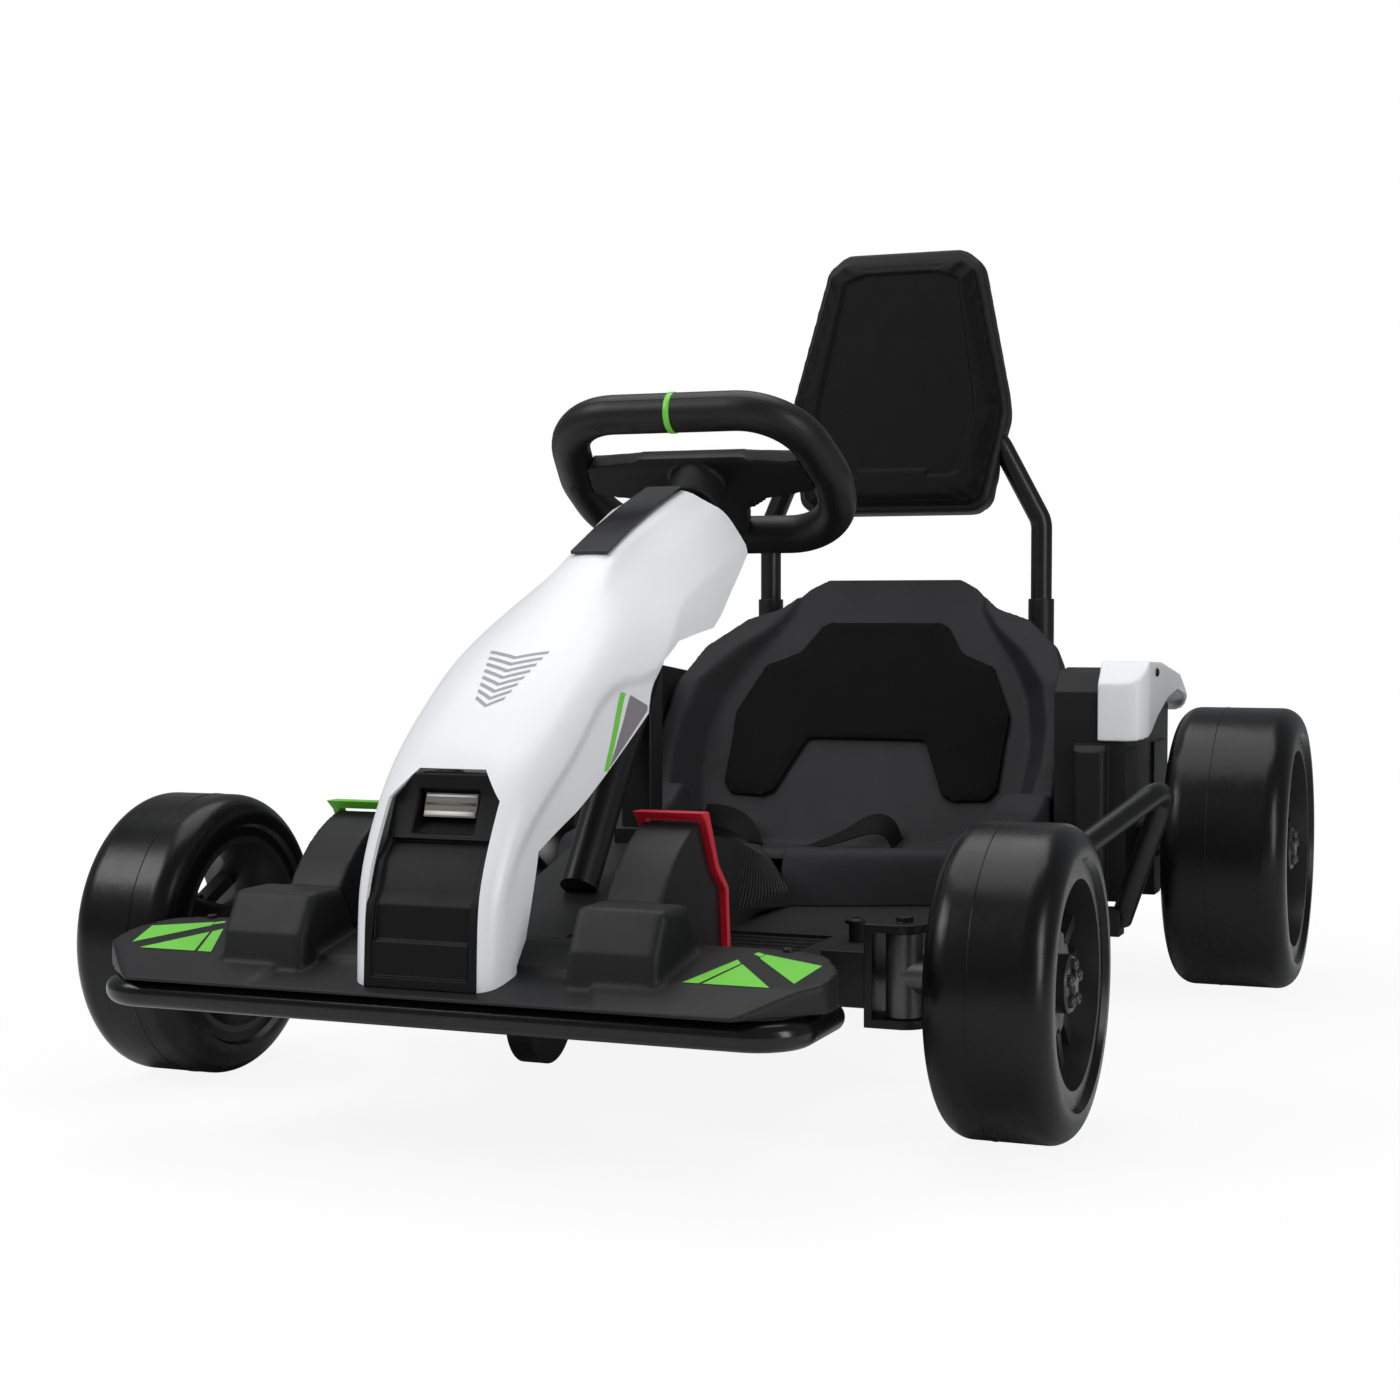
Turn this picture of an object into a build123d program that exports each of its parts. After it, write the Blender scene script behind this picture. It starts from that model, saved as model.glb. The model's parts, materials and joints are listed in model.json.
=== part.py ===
from build123d import *
from math import cos, sin, radians, sqrt
import os

os.makedirs("parts", exist_ok=True)

# Electric drift kart for a child. Millimetres, +Z up, the front faces -Y and
# the driver's left is +X. The origin is on the ground, in the middle of the length.
# A side view point (s, z) is the distance behind the front axle and the height.

# Driving sizes
WHEELBASE = 679
FRONT_TYRE_R, FRONT_TYRE_W, FRONT_TYRE_X = 108, 86, 328
REAR_TYRE_R, REAR_TYRE_W, REAR_TYRE_X = 133, 113, 379
FRONT_SIDEWALL, REAR_SIDEWALL = 32, 35     # tyre radius less bead seat
FRONT_OVERHANG = 251                       # front axle to the wing's lip
BACK_BEHIND, BACK_Z, BACK_LEAN = 89, 468, 9    # backrest pad's foot behind the rear axle, and lean
BACK_TALL, BACK_PAD_T, BACK_SHELL_T = 278, 8, 28
POST_R, SIDE_BAR_R, TUBE_WALL = 11, 10, 1.8    # backrest posts and side bars
BUMPER_R = 9.5
RUN_GAP = 0.05                             # radial gap of a running fit
SEAT_GAP = 0.3                             # gap between soft pieces and their seats
MOVE_GAP = 6                               # gap round a moving piece

# Stations along the kart
AXLE_S = WHEELBASE
BACK_S = AXLE_S + BACK_BEHIND
BACK_DEPTH = BACK_PAD_T + SEAT_GAP + BACK_SHELL_T
REAR_END = BACK_S + BACK_TALL * sin(radians(BACK_LEAN)) + BACK_DEPTH * cos(radians(BACK_LEAN))
LENGTH = FRONT_OVERHANG + REAR_END
FRONT_Y = -LENGTH / 2 + FRONT_OVERHANG
REAR_Y = FRONT_Y + WHEELBASE
UPRIGHT_S = AXLE_S + 139                   # backrest uprights
SEAT_BACK_S = AXLE_S - 39                  # foot of the seat's back

# Frame sizes
RAIL_X, RAIL_W, RAIL_H, RAIL_Z = 110, 30, 25, 60
RAIL_TOP = RAIL_Z + RAIL_H
BEAM_D, BEAM_H = 32, 17
BEAM_TOP = RAIL_TOP + BEAM_H
PAN_T = 3
FLOOR_Z = BEAM_TOP + PAN_T                 # top of the floor
CROSS_S, CROSS_D, CROSS_Z = -152, 20, (95, 115)    # front cross tube
BUMPER_X, BUMPER_S, BUMPER_Z = 243, 17 - FRONT_OVERHANG, 105

# Steering
KINGPIN_X, KINGPIN_R = 246, 6
STUB_R, REAR_AXLE_R = 8, 9
ARM_LEN = 62                               # knuckle arm, kingpin to tie rod
ARM_T = 8
HUB_Y, HUB_Z = FRONT_Y + 234, 473          # where the column meets the steering wheel
COLUMN_TILT = 53                           # above the horizontal
COLUMN_R, SHAFT_R = 14, 8
RIM_R = 16

# Backrest
POST_X, POST_Y, COLLAR_TOP = 151, FRONT_Y + UPRIGHT_S, 371
COLLAR_R = 13.5


def tyre(radius, width, bead_r, shoulder):
    """Slick tyre about X: rounded shoulders, a stepped sidewall ring and an open bead."""
    half, step, wall = width / 2, 2.5, 14
    ring = radius - shoulder - 7           # the sidewall steps out here
    with BuildPart() as piece:
        with BuildSketch(Plane.XZ):
            with BuildLine():
                side = half - 4
                Polyline(
                    (-side, bead_r), (-side, ring), (-half, ring + step), (-half, radius - shoulder),
                )
                JernArc((-half, radius - shoulder), (0, 1), shoulder, -90)
                Line((-half + shoulder, radius), (half - shoulder, radius))
                JernArc((half - shoulder, radius), (1, 0), shoulder, -90)
                Polyline(
                    (half, radius - shoulder), (half, ring + step), (side, ring),
                    (side, bead_r), (side - wall, bead_r), (side - wall, bead_r + 6),
                    (-side + wall, bead_r + 6), (-side + wall, bead_r), (-side, bead_r),
                )
            make_face()
        revolve(axis=Axis.X)
    return piece.part


def rim(bead_r, width, bore_r, hub_len):
    """Wheel about X with its street side at +X: barrel, five twin spokes and a hub drum."""
    half, wall = width / 2 - 4, 5
    face = half - 16                       # street side of the spokes
    root, tip = 20, bead_r - wall + 0.5
    with BuildPart() as piece:
        with BuildSketch(Plane.XZ):
            with BuildLine():
                Polyline(
                    (-half, bead_r), (half, bead_r), (half, bead_r - wall),
                    (face - 12, bead_r - wall - 2), (-half, bead_r - wall), (-half, bead_r),
                )
            make_face()
        revolve(axis=Axis.X)
        # hub drum with its stepped nose
        with BuildSketch(Plane.XZ):
            with BuildLine():
                Polyline(
                    (face - hub_len, 0), (face - hub_len, 20), (face - 14, 26), (face + 2, 26),
                    (face + 2, 19), (face + 10, 17), (face + 10, 0), (face - hub_len, 0),
                )
            make_face()
        revolve(axis=Axis.X)
        # twin spokes from the hub to the barrel
        with BuildSketch(Plane.YZ.offset(face - 12)):
            with PolarLocations(0, 5, start_angle=90):
                for side in (-1, 1):
                    Polygon((root, 3 * side), (tip, 9 * side), (tip, 19 * side), (root, 12 * side),
                            align=None)
        extrude(amount=12)
        # blind bore for the axle
        with BuildSketch(Plane.YZ.offset(face - hub_len)):
            Circle(bore_r)
        extrude(amount=hub_len + 5, mode=Mode.SUBTRACT)
    return piece.part


def bent_path(points, radius):
    """Straight runs joined by tangent arcs; call inside BuildLine."""
    corners = [Vector(*p) for p in points]
    start = corners[0]
    for here, after in zip(corners[1:-1], corners[2:]):
        into, out = (start - here).normalized(), (after - here).normalized()
        turn = 180 - into.get_angle(out)
        cut = radius * sin(radians(turn / 2)) / cos(radians(turn / 2))
        first, last = here + into * cut, here + out * cut
        bisector = (into + out).normalized()
        centre = here + bisector * sqrt(radius ** 2 + cut ** 2)
        Line(start, first)
        ThreePointArc(first, centre - bisector * radius, last)
        start = last
    Line(start, corners[-1])


def tube(points, radius, wall, bend):
    """Bent round tube through the points, open at both ends, or a bar where wall is 0."""
    with BuildPart() as piece:
        with BuildLine() as run:
            bent_path(points, bend)
        wire = run.wires()[0]
        with BuildSketch(Plane(wire @ 0, z_dir=wire % 0)) as section:
            Circle(radius)
            if wall:
                Circle(radius - wall, mode=Mode.SUBTRACT)
        sweep(section.sketch, path=wire)
    return piece.part


def save(part, name):
    part.label = name
    export_step(part, f"parts/{name}.step")


def largest(piece):
    """The main solid of a piece, where a cut leaves loose slivers."""
    return max(piece.solids(), key=lambda s: s.volume)


def slab(points, x0, x1, mode=Mode.ADD):
    """Side view profile extruded from x0 to x1; call inside BuildPart."""
    with BuildSketch(Plane.YZ.offset(x0)) as face:
        Polygon(*[(FRONT_Y + s, z) for s, z in points], align=None)
    extrude(face.sketch, amount=x1 - x0, mode=mode)


def mirrored(points):
    """Closed outline from its right half, listed (x, y) from one end to the other."""
    return list(points) + [(-x, y) for x, y in reversed(points)]


def plan(points):
    """Closed plan outline from its right half, listed (x, s)."""
    return mirrored([(x, FRONT_Y + s) for x, s in points])


# Frame
OUTRIGGERS = ((150, 215, 32), (AXLE_S - 127, 290, 24))     # station, reach and width
with BuildPart() as frame_main:
    rail_front, rail_rear = FRONT_Y - BEAM_D / 2, POST_Y + 16
    for side in (-1, 1):
        with BuildSketch(Plane.XZ.offset(-rail_rear)):
            with Locations((side * RAIL_X, RAIL_Z + RAIL_H / 2)):
                Rectangle(RAIL_W, RAIL_H)
        extrude(amount=rail_rear - rail_front)
        # outriggers that carry the side bars
        for s, reach, width in OUTRIGGERS:
            inner = RAIL_X + RAIL_W / 2
            with BuildSketch(Plane.XY.offset(RAIL_Z)):
                with Locations((side * (inner + reach) / 2, FRONT_Y + s)):
                    Rectangle(reach - inner, width)
            extrude(amount=RAIL_H)
        # backrest uprights
        with BuildSketch(Plane.XY.offset(RAIL_Z)):
            with Locations((side * POST_X, POST_Y)):
                Circle(COLLAR_R)
        extrude(amount=COLLAR_TOP - RAIL_Z)
        with BuildSketch(Plane.XY.offset(COLLAR_TOP - 70)):
            with Locations((side * POST_X, POST_Y)):
                Circle(POST_R)
        extrude(amount=70, mode=Mode.SUBTRACT)
        # axle bearing plates on the rails
        with BuildSketch(Plane.YZ.offset(side * RAIL_X - 4)):
            with Locations((REAR_Y, REAR_TYRE_R)):
                Circle(14)
            with Locations((REAR_Y, (RAIL_Z + 5 + REAR_TYRE_R) / 2)):
                Rectangle(28, REAR_TYRE_R - RAIL_Z - 5)
            with Locations((REAR_Y, REAR_TYRE_R)):
                Circle(REAR_AXLE_R, mode=Mode.SUBTRACT)
        extrude(amount=8)
    for s in (OUTRIGGERS[0][0], 400, OUTRIGGERS[1][0]):
        with BuildSketch(Plane.XY.offset(RAIL_Z)):
            with Locations((0, FRONT_Y + s)):
                Rectangle(2 * RAIL_X - RAIL_W, 20)
        extrude(amount=RAIL_H)
    with BuildSketch(Plane.XY.offset(RAIL_Z)):
        with Locations((0, POST_Y)):
            Rectangle(2 * POST_X, 32)
    extrude(amount=RAIL_H)
save(frame_main.part, "frame_main")

# Front subframe: axle beam with a C bracket and a kingpin at each end, two arms
# forward to the cross tube that carries the bumper and the wing
BRACKET_T, BRACKET_X = 6, KINGPIN_X - 24
KNUCKLE_R, KNUCKLE_H = 13, 58
KNUCKLE_Z = FRONT_TYRE_R - KNUCKLE_H / 2
ARM_X, ARM_W = RAIL_X, 24
with BuildPart() as front_beam:
    with BuildSketch(Plane.XY.offset(RAIL_TOP)):
        with Locations((0, FRONT_Y)):
            Rectangle(2 * BRACKET_X, BEAM_D)
        for side in (-1, 1):
            with Locations((side * ARM_X, FRONT_Y + CROSS_S / 2)):
                Rectangle(ARM_W, -CROSS_S)
    extrude(amount=BEAM_H)
    low, high = KNUCKLE_Z - 1 - BRACKET_T, KNUCKLE_Z + KNUCKLE_H + 1
    for side in (-1, 1):
        # taller beam ends inside the brackets
        with BuildSketch(Plane.XY.offset(RAIL_TOP)):
            with Locations((side * (BRACKET_X - 16), FRONT_Y)):
                Rectangle(32, BEAM_D)
        extrude(amount=39)
        with BuildSketch(Plane.XY.offset(low)):
            with Locations((side * (BRACKET_X + BRACKET_T / 2), FRONT_Y)):
                Rectangle(BRACKET_T, 36)
        extrude(amount=high - low + BRACKET_T)
        for z in (low, high):
            with BuildSketch(Plane.XY.offset(z)):
                with Locations((side * (BRACKET_X + KINGPIN_X) / 2, FRONT_Y)):
                    Rectangle(KINGPIN_X - BRACKET_X, 36)
                with Locations((side * KINGPIN_X, FRONT_Y)):
                    Circle(18)
            extrude(amount=BRACKET_T)
        with BuildSketch(Plane.XY.offset(low)):
            with Locations((side * KINGPIN_X, FRONT_Y)):
                Circle(KINGPIN_R)
        extrude(amount=high - low + BRACKET_T + 4)
    with BuildSketch(Plane.XY.offset(CROSS_Z[0])):
        with Locations((0, FRONT_Y + CROSS_S)):
            Rectangle(2 * BUMPER_X, CROSS_D)
    extrude(amount=CROSS_Z[1] - CROSS_Z[0])
save(front_beam.part, "front_beam")

# Knuckles: sleeve on the kingpin, stub axle and steering arm
TIE_S, TIE_Z, TIE_R = ARM_LEN, (RAIL_TOP + BEAM_TOP) / 2, 4
PIN_R, EYE_R = 4, 8.5
ARM_Z = TIE_Z + TIE_R + SEAT_GAP
with BuildPart() as knuckle:
    with BuildSketch(Plane.XY.offset(KNUCKLE_Z)):
        with Locations((KINGPIN_X, FRONT_Y)):
            Circle(KNUCKLE_R)
    extrude(amount=KNUCKLE_H)
    with BuildSketch(Plane.XY.offset(ARM_Z)):
        with Locations((KINGPIN_X, FRONT_Y + ARM_LEN / 2)):
            Rectangle(16, ARM_LEN)
        with Locations((KINGPIN_X, FRONT_Y + ARM_LEN)):
            Circle(EYE_R + 5)
    extrude(amount=ARM_T)
    with BuildSketch(Plane.YZ.offset(KINGPIN_X)):
        with Locations((FRONT_Y, FRONT_TYRE_R)):
            Circle(KNUCKLE_R)
    extrude(amount=FRONT_TYRE_X - 28 - KINGPIN_X)
    with BuildSketch(Plane.YZ.offset(KINGPIN_X)):
        with Locations((FRONT_Y, FRONT_TYRE_R)):
            Circle(STUB_R)
    extrude(amount=FRONT_TYRE_X + 26 - KINGPIN_X)
    with BuildSketch(Plane.XY.offset(KNUCKLE_Z)):
        with Locations((KINGPIN_X, FRONT_Y)):
            Circle(KINGPIN_R + RUN_GAP)
    extrude(amount=KNUCKLE_H, mode=Mode.SUBTRACT)
    with BuildSketch(Plane.XY.offset(ARM_Z)):
        with Locations((KINGPIN_X, FRONT_Y + ARM_LEN)):
            Circle(EYE_R)
    extrude(amount=ARM_T, mode=Mode.SUBTRACT)
save(knuckle.part, "knuckle_left")
save(mirror(knuckle.part, about=Plane.YZ), "knuckle_right")

# Tie rod with its two upright pins
with BuildPart() as tie_rod:
    with BuildSketch(Plane.YZ.offset(-KINGPIN_X - 6)):
        with Locations((FRONT_Y + TIE_S, TIE_Z)):
            Circle(TIE_R)
    extrude(amount=2 * KINGPIN_X + 12)
    for side in (-1, 1):
        with BuildSketch(Plane.XY.offset(TIE_Z)):
            with Locations((side * KINGPIN_X, FRONT_Y + TIE_S)):
                Circle(PIN_R)
        extrude(amount=ARM_Z + ARM_T + 3 - TIE_Z)
save(tie_rod.part, "tie_rod")

# Wheels
FRONT_RIM_R, REAR_RIM_R = FRONT_TYRE_R - FRONT_SIDEWALL, REAR_TYRE_R - REAR_SIDEWALL
FRONT_HUB_L, REAR_HUB_L = 50, 62
front_tyre = tyre(FRONT_TYRE_R, FRONT_TYRE_W, FRONT_RIM_R, 18)
rear_tyre = tyre(REAR_TYRE_R, REAR_TYRE_W, REAR_RIM_R, 19)
front_rim = rim(FRONT_RIM_R, FRONT_TYRE_W, STUB_R + RUN_GAP, FRONT_HUB_L)
rear_rim = rim(REAR_RIM_R, REAR_TYRE_W, REAR_AXLE_R + RUN_GAP, REAR_HUB_L)
for end, y, radius, x, tyre_part, rim_part in (
    ("front", FRONT_Y, FRONT_TYRE_R, FRONT_TYRE_X, front_tyre, front_rim),
    ("rear", REAR_Y, REAR_TYRE_R, REAR_TYRE_X, rear_tyre, rear_rim),
):
    for piece, kind in ((tyre_part, "tyre"), (rim_part, "rim")):
        left = Pos(x, y, radius) * piece
        save(left, f"{kind}_{end}_left")
        save(mirror(left, about=Plane.YZ), f"{kind}_{end}_right")

with BuildPart() as rear_axle:
    with BuildSketch(Plane.YZ.offset(-REAR_TYRE_X - 38)):
        with Locations((REAR_Y, REAR_TYRE_R)):
            Circle(REAR_AXLE_R)
    extrude(amount=2 * REAR_TYRE_X + 76)
save(rear_axle.part, "rear_axle")

HOUSE_X, HOUSE_WALL = (216, 282), 4        # rear housings, inner and outer side
DRIVE_X = (HOUSE_X[0] + HOUSE_WALL, HOUSE_X[1] - HOUSE_WALL)
for side, name in ((1, "left"), (-1, "right")):
    with BuildPart() as drive_unit:
        x0 = DRIVE_X[0] if side > 0 else -DRIVE_X[1]
        front, rear, under, top = AXLE_S - 69, AXLE_S + 81, REAR_TYRE_R - 43, REAR_TYRE_R + 52
        slab([(front, under), (rear, under), (rear, top), (front, top)], x0, x0 + DRIVE_X[1] - DRIVE_X[0])
        with BuildSketch(Plane.YZ.offset(x0)):
            with Locations((REAR_Y, REAR_TYRE_R)):
                Circle(REAR_AXLE_R)
        extrude(amount=DRIVE_X[1] - DRIVE_X[0], mode=Mode.SUBTRACT)
    save(drive_unit.part, f"drive_unit_{name}")

BATTERY_S, BATTERY_Z = (415, AXLE_S - 140), (RAIL_Z - 4, RAIL_TOP + 20)
with BuildPart() as battery_box:
    slab([(s, z) for s, z in zip(BATTERY_S + BATTERY_S[::-1], (BATTERY_Z[0],) * 2 + (BATTERY_Z[1],) * 2)],
         -RAIL_X + RAIL_W / 2, RAIL_X - RAIL_W / 2)
save(battery_box.part, "battery_box")

# Bumper and side bars
bumper_points = [(-BUMPER_X, FRONT_Y + CROSS_S, BUMPER_Z), (-BUMPER_X, FRONT_Y + BUMPER_S, BUMPER_Z),
                 (BUMPER_X, FRONT_Y + BUMPER_S, BUMPER_Z), (BUMPER_X, FRONT_Y + CROSS_S, BUMPER_Z)]
with BuildPart() as bumper_tube:
    add(tube(bumper_points, BUMPER_R, 1.6, 28))
    add(front_beam.part, mode=Mode.SUBTRACT)
save(bumper_tube.part, "bumper_tube")

bar_points = [(199, FRONT_Y + 146, 78), (351, FRONT_Y + AXLE_S - 239, 210), (288, FRONT_Y + AXLE_S - 119, 74)]
with BuildPart() as side_bar:
    add(tube(bar_points, SIDE_BAR_R, TUBE_WALL, 34))
    add(frame_main.part, mode=Mode.SUBTRACT)
save(side_bar.part, "side_bar_left")
save(mirror(side_bar.part, about=Plane.YZ), "side_bar_right")

# Floor pan: flat floor with sloping side flanges, foot tunnel, pommel and footrests
PAN_FLANGE = 16
PAN_REAR = 410
# station, half width of the floor and of the flange's foot
PAN_EDGE = (
    (-138, 150, 158), (48, 157, 171), (122, 157, 178), (153, 175, 183), (194, 189, 191), (228, 195, 196),
    (PAN_REAR, 195, 196),
)
TUNNEL_X, TUNNEL_WALL, RIDGE_X = 48, 4, 12
TUNNEL_TOP = [(-142, 140), (-20, 148), (113, 184), (136, 184), (194, 174)]
POMMEL_S, POMMEL_Z = 345, (113, 154)       # where the pommel ends, its side and ridge heights
SEAT_FACE = [(318, FLOOR_Z), (340, 151)]   # slope of the seat's front in the middle
with BuildPart() as floor_pan:
    for inset, top, mode in ((0, FLOOR_Z, Mode.ADD), (PAN_T, BEAM_TOP, Mode.SUBTRACT)):
        with BuildSketch(Plane.XY.offset(top)):
            Polygon(*plan([(x - inset, s) for s, x, _ in PAN_EDGE]), align=None)
        with BuildSketch(Plane.XY.offset(FLOOR_Z - PAN_FLANGE)):
            Polygon(*plan([(x - inset, s) for s, _, x in PAN_EDGE]), align=None)
        loft(ruled=True, mode=mode)
    # notches in the flanges over the axle beam and the tie rod
    for s, half, top in ((0, BEAM_D / 2 + 2, BEAM_TOP), (TIE_S, TIE_R + MOVE_GAP, BEAM_TOP)):
        for x0 in (-200, 140):
            slab([(s - half, 80), (s + half, 80), (s + half, top), (s - half, top)], x0, x0 + 60, Mode.SUBTRACT)
    # tunnel and the pommel that runs into the seat
    slab([(-142, BEAM_TOP)] + TUNNEL_TOP + [(194, BEAM_TOP)], -TUNNEL_X, TUNNEL_X)
    with BuildSketch(Plane.XZ.offset(-FRONT_Y - 194)):
        Polygon(*mirrored([(TUNNEL_X, BEAM_TOP), (TUNNEL_X, 174), (RIDGE_X, 174)]), align=None)
    with BuildSketch(Plane.XZ.offset(-FRONT_Y - POMMEL_S)):
        Polygon(*mirrored([(TUNNEL_X, BEAM_TOP), (TUNNEL_X, POMMEL_Z[0]), (RIDGE_X, POMMEL_Z[1])]), align=None)
    loft(ruled=True)
    slab([SEAT_FACE[0], (SEAT_FACE[1][0] + 5, SEAT_FACE[1][1] + 10.5), (POMMEL_S + 10, 200), (POMMEL_S + 10, FLOOR_Z)],
         -TUNNEL_X, TUNNEL_X, Mode.SUBTRACT)
    # open underneath
    slab([(-138, 80), (-138, 136)] + [(s, z - TUNNEL_WALL) for s, z in TUNNEL_TOP[1:4]] + [(190, 168), (190, 80)],
         -TUNNEL_X + TUNNEL_WALL, TUNNEL_X - TUNNEL_WALL, Mode.SUBTRACT)
    with BuildSketch(Plane.XZ.offset(-FRONT_Y - 189)):
        Polygon(*mirrored([(TUNNEL_X - TUNNEL_WALL, 80), (TUNNEL_X - TUNNEL_WALL, 168), (RIDGE_X, 168)]), align=None)
    with BuildSketch(Plane.XZ.offset(-FRONT_Y - 312)):
        Polygon(*mirrored([(TUNNEL_X - TUNNEL_WALL, 80), (TUNNEL_X - TUNNEL_WALL, 118), (RIDGE_X, 148)]), align=None)
    loft(ruled=True, mode=Mode.SUBTRACT)
    # footrests: a sunk tray with raised ribs, and a boss at the floor's corner
    for side in (-1, 1):
        x0, x1 = (46, 143) if side > 0 else (-143, -46)
        slab([(70, BEAM_TOP - 3), (173, BEAM_TOP - 3), (173, BEAM_TOP), (70, BEAM_TOP)], x0, x1)
        slab([(75, BEAM_TOP - 1), (168, BEAM_TOP - 1), (168, FLOOR_Z), (75, FLOOR_Z)], x0 + 5, x1 - 5, Mode.SUBTRACT)
        for s in range(82, 168, 17):
            slab([(s, BEAM_TOP - 1), (s + 9, BEAM_TOP - 1), (s + 7, FLOOR_Z - 1), (s + 2, FLOOR_Z - 1)], x0 + 5, x1 - 5)
        with BuildSketch(Plane.XY.offset(FLOOR_Z)):
            with Locations((side * 165, FRONT_Y + 152)):
                Circle(8.5)
        extrude(amount=14)
        # ribs that stand on the rails
        slab([(110, RAIL_TOP), (330, RAIL_TOP), (330, BEAM_TOP), (110, BEAM_TOP)],
             side * RAIL_X - 3, side * RAIL_X + 3)
save(floor_pan.part, "floor_pan")

# Front wing with its two pods
WING_X, WING_SKIRT_Z, WING_T = 258, 116, 5
WING_PLAN = ((215, -FRONT_OVERHANG), (WING_X, -205), (WING_X, -180), (240, -152), (200, -144))
WING_TOP = [(-FRONT_OVERHANG, 118), (-217, 132), (-161, 143), (-140, 145)]
SUNK_PLAN = ((127, -FRONT_OVERHANG - 4), (104, -208))


def sunk(s):
    """Side view point on the sunk middle of the wing, on which the nose stands."""
    return s, 120.5 + 0.26 * (s + 241)


WING_SEAT = [sunk(-241), sunk(-209), (-209, 134.5)]
with BuildPart() as wing_sunk:
    slab([sunk(-256), sunk(-205), (-205, 160), (-256, 160)], -130, 130)
    with BuildSketch(Plane.XY.offset(100)):
        Polygon(*plan(SUNK_PLAN), align=None)
    extrude(amount=80, mode=Mode.INTERSECT)
with BuildPart() as front_wing:
    slab([(-FRONT_OVERHANG, WING_SKIRT_Z)] + WING_TOP + [(-140, WING_SKIRT_Z)], -WING_X, WING_X)
    with BuildSketch(Plane.XY.offset(100)) as outline:
        Polygon(*plan(WING_PLAN), align=None)
        fillet(outline.vertices(), 12)
    extrude(amount=80, mode=Mode.INTERSECT)
    add(wing_sunk.part, mode=Mode.SUBTRACT)
    # hollow underneath, thinner under the sunk middle
    for x0, x1, line in (
        (-WING_X + WING_T, -135, [(-240, 116), (-217, 126), (-161, 138), (-150, 139)]),
        (-135, 135, [(-240, 114), (-205, 124), (-161, 134), (-150, 135)]),
        (135, WING_X - WING_T, [(-240, 116), (-217, 126), (-161, 138), (-150, 139)]),
    ):
        with BuildPart(mode=Mode.PRIVATE) as hollow:
            slab([(-240, 100)] + line + [(-150, 100)], x0, x1)
            with BuildSketch(Plane.XY.offset(90)):
                Polygon(*plan([(x - 7, s) for x, s in WING_PLAN]), align=None)
            extrude(amount=80, mode=Mode.INTERSECT)
        add(hollow.part, mode=Mode.SUBTRACT)
    # legs that stand on the cross tube
    for x in (-170, 170):
        with BuildSketch(Plane.XY.offset(CROSS_Z[1])):
            with Locations((x, FRONT_Y + CROSS_S)):
                Rectangle(16, 14)
        extrude(amount=26)
    for x0 in (-156, 94):
        with BuildPart(mode=Mode.PRIVATE) as pod:
            slab([(-227, 124), (-224, 148), (-209, 174), (-173, 174), (-159, 150), (-159, 140)], x0, x0 + 62)
            fillet(pod.edges().filter_by(lambda e: e.center().Z > 135), 5)
        add(pod.part)
save(front_wing.part, "front_wing")

# Nose: a hooded shell, its grille, lamp and dash strip
# station: distance behind the front axle, height and slope of the crown, then half of the
# section as (half width, depth below the crown): crown edge, shoulder, side, crease,
# step in, flank, foot
NOSE_STATIONS = (
    (-241, 112, 90, ((34, 0), (44, 3), (49, 8), (51, 14), (52, 20), (55, 60), (57, 120))),
    (-239.5, 160, 88, ((34, 0), (44, 3), (49, 8), (51, 14), (52, 20), (56, 60), (58, 120))),
    (-236, 185, 78, ((33, 0), (44, 3), (49, 8), (52, 12), (52, 22), (57, 60), (60, 120))),
    (-223, 215, 65, ((32, 0), (45, 4), (51, 9), (54, 14), (53, 25), (58, 60), (62, 120))),
    (-200, 254, 50, ((30, 0), (46, 5), (54, 14), (59, 25), (54, 37), (60, 65), (66, 120))),
    (-160, 287, 38, ((27, 0), (49, 6), (58, 14), (65, 25), (59, 38), (66, 65), (72, 115))),
    (-100, 330, 34, ((24, 0), (47, 6), (57, 13), (64, 20), (60, 32), (69, 60), (75, 110))),
    (-60, 355, 32, ((20, 0), (43, 8), (61, 21), (77, 47), (71, 57), (73, 75), (76, 108))),
    (-20, 379, 30, ((18, 0), (33, 9), (52, 22), (75, 41), (76.5, 60), (77.3, 75), (77, 105))),
    (17, 400, 27, ((16, 0), (24, 9), (42, 22), (66, 40), (72, 56), (74, 75), (76, 105))),
    (60, 419, 22, ((16, 0), (25, 9), (43, 23), (66, 42), (71, 56), (74, 75), (75, 105))),
    (110, 438, 19, ((17, 0), (30, 9), (48, 20), (68, 42), (71, 56), (73, 75), (74, 100))),
    (160, 454.5, 19, ((17, 0), (35, 9.5), (52, 17), (69, 42), (71, 56), (72, 70), (73, 95))),
)
# how far each point of the section moves in for each millimetre of wall
NOSE_INSET = ((0.3, 1), (0.7, 0.8), (0.8, 0.6), (1, 0.3), (1, 0.2), (1, 0), (1, 0))
NOSE_WALL = 4


def nose_body(inset):
    """Hood and flanks as one closed loft, each section shrunk by the inset."""
    with BuildPart() as body:
        for s, z, slope, half in NOSE_STATIONS:
            c, n = cos(radians(slope)), sin(radians(slope))
            section = Plane(origin=(0, FRONT_Y + s, z), x_dir=(1, 0, 0), z_dir=(0, -c, -n))
            with BuildSketch(section):
                Polygon(*mirrored([(x - inset * dx, -p - inset * dp)
                                   for (x, p), (dx, dp) in zip(half, NOSE_INSET)]), align=None)
        loft(ruled=True)
    return body.part


GRILLE_X = 40


def grille_front(gap):
    """Outline of the grille seen from the front, drawn in by a gap."""
    Polygon(*mirrored(((GRILLE_X - gap, 90), (GRILLE_X - gap, 238 - gap), (24 - gap, 257 - gap))), align=None)


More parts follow.
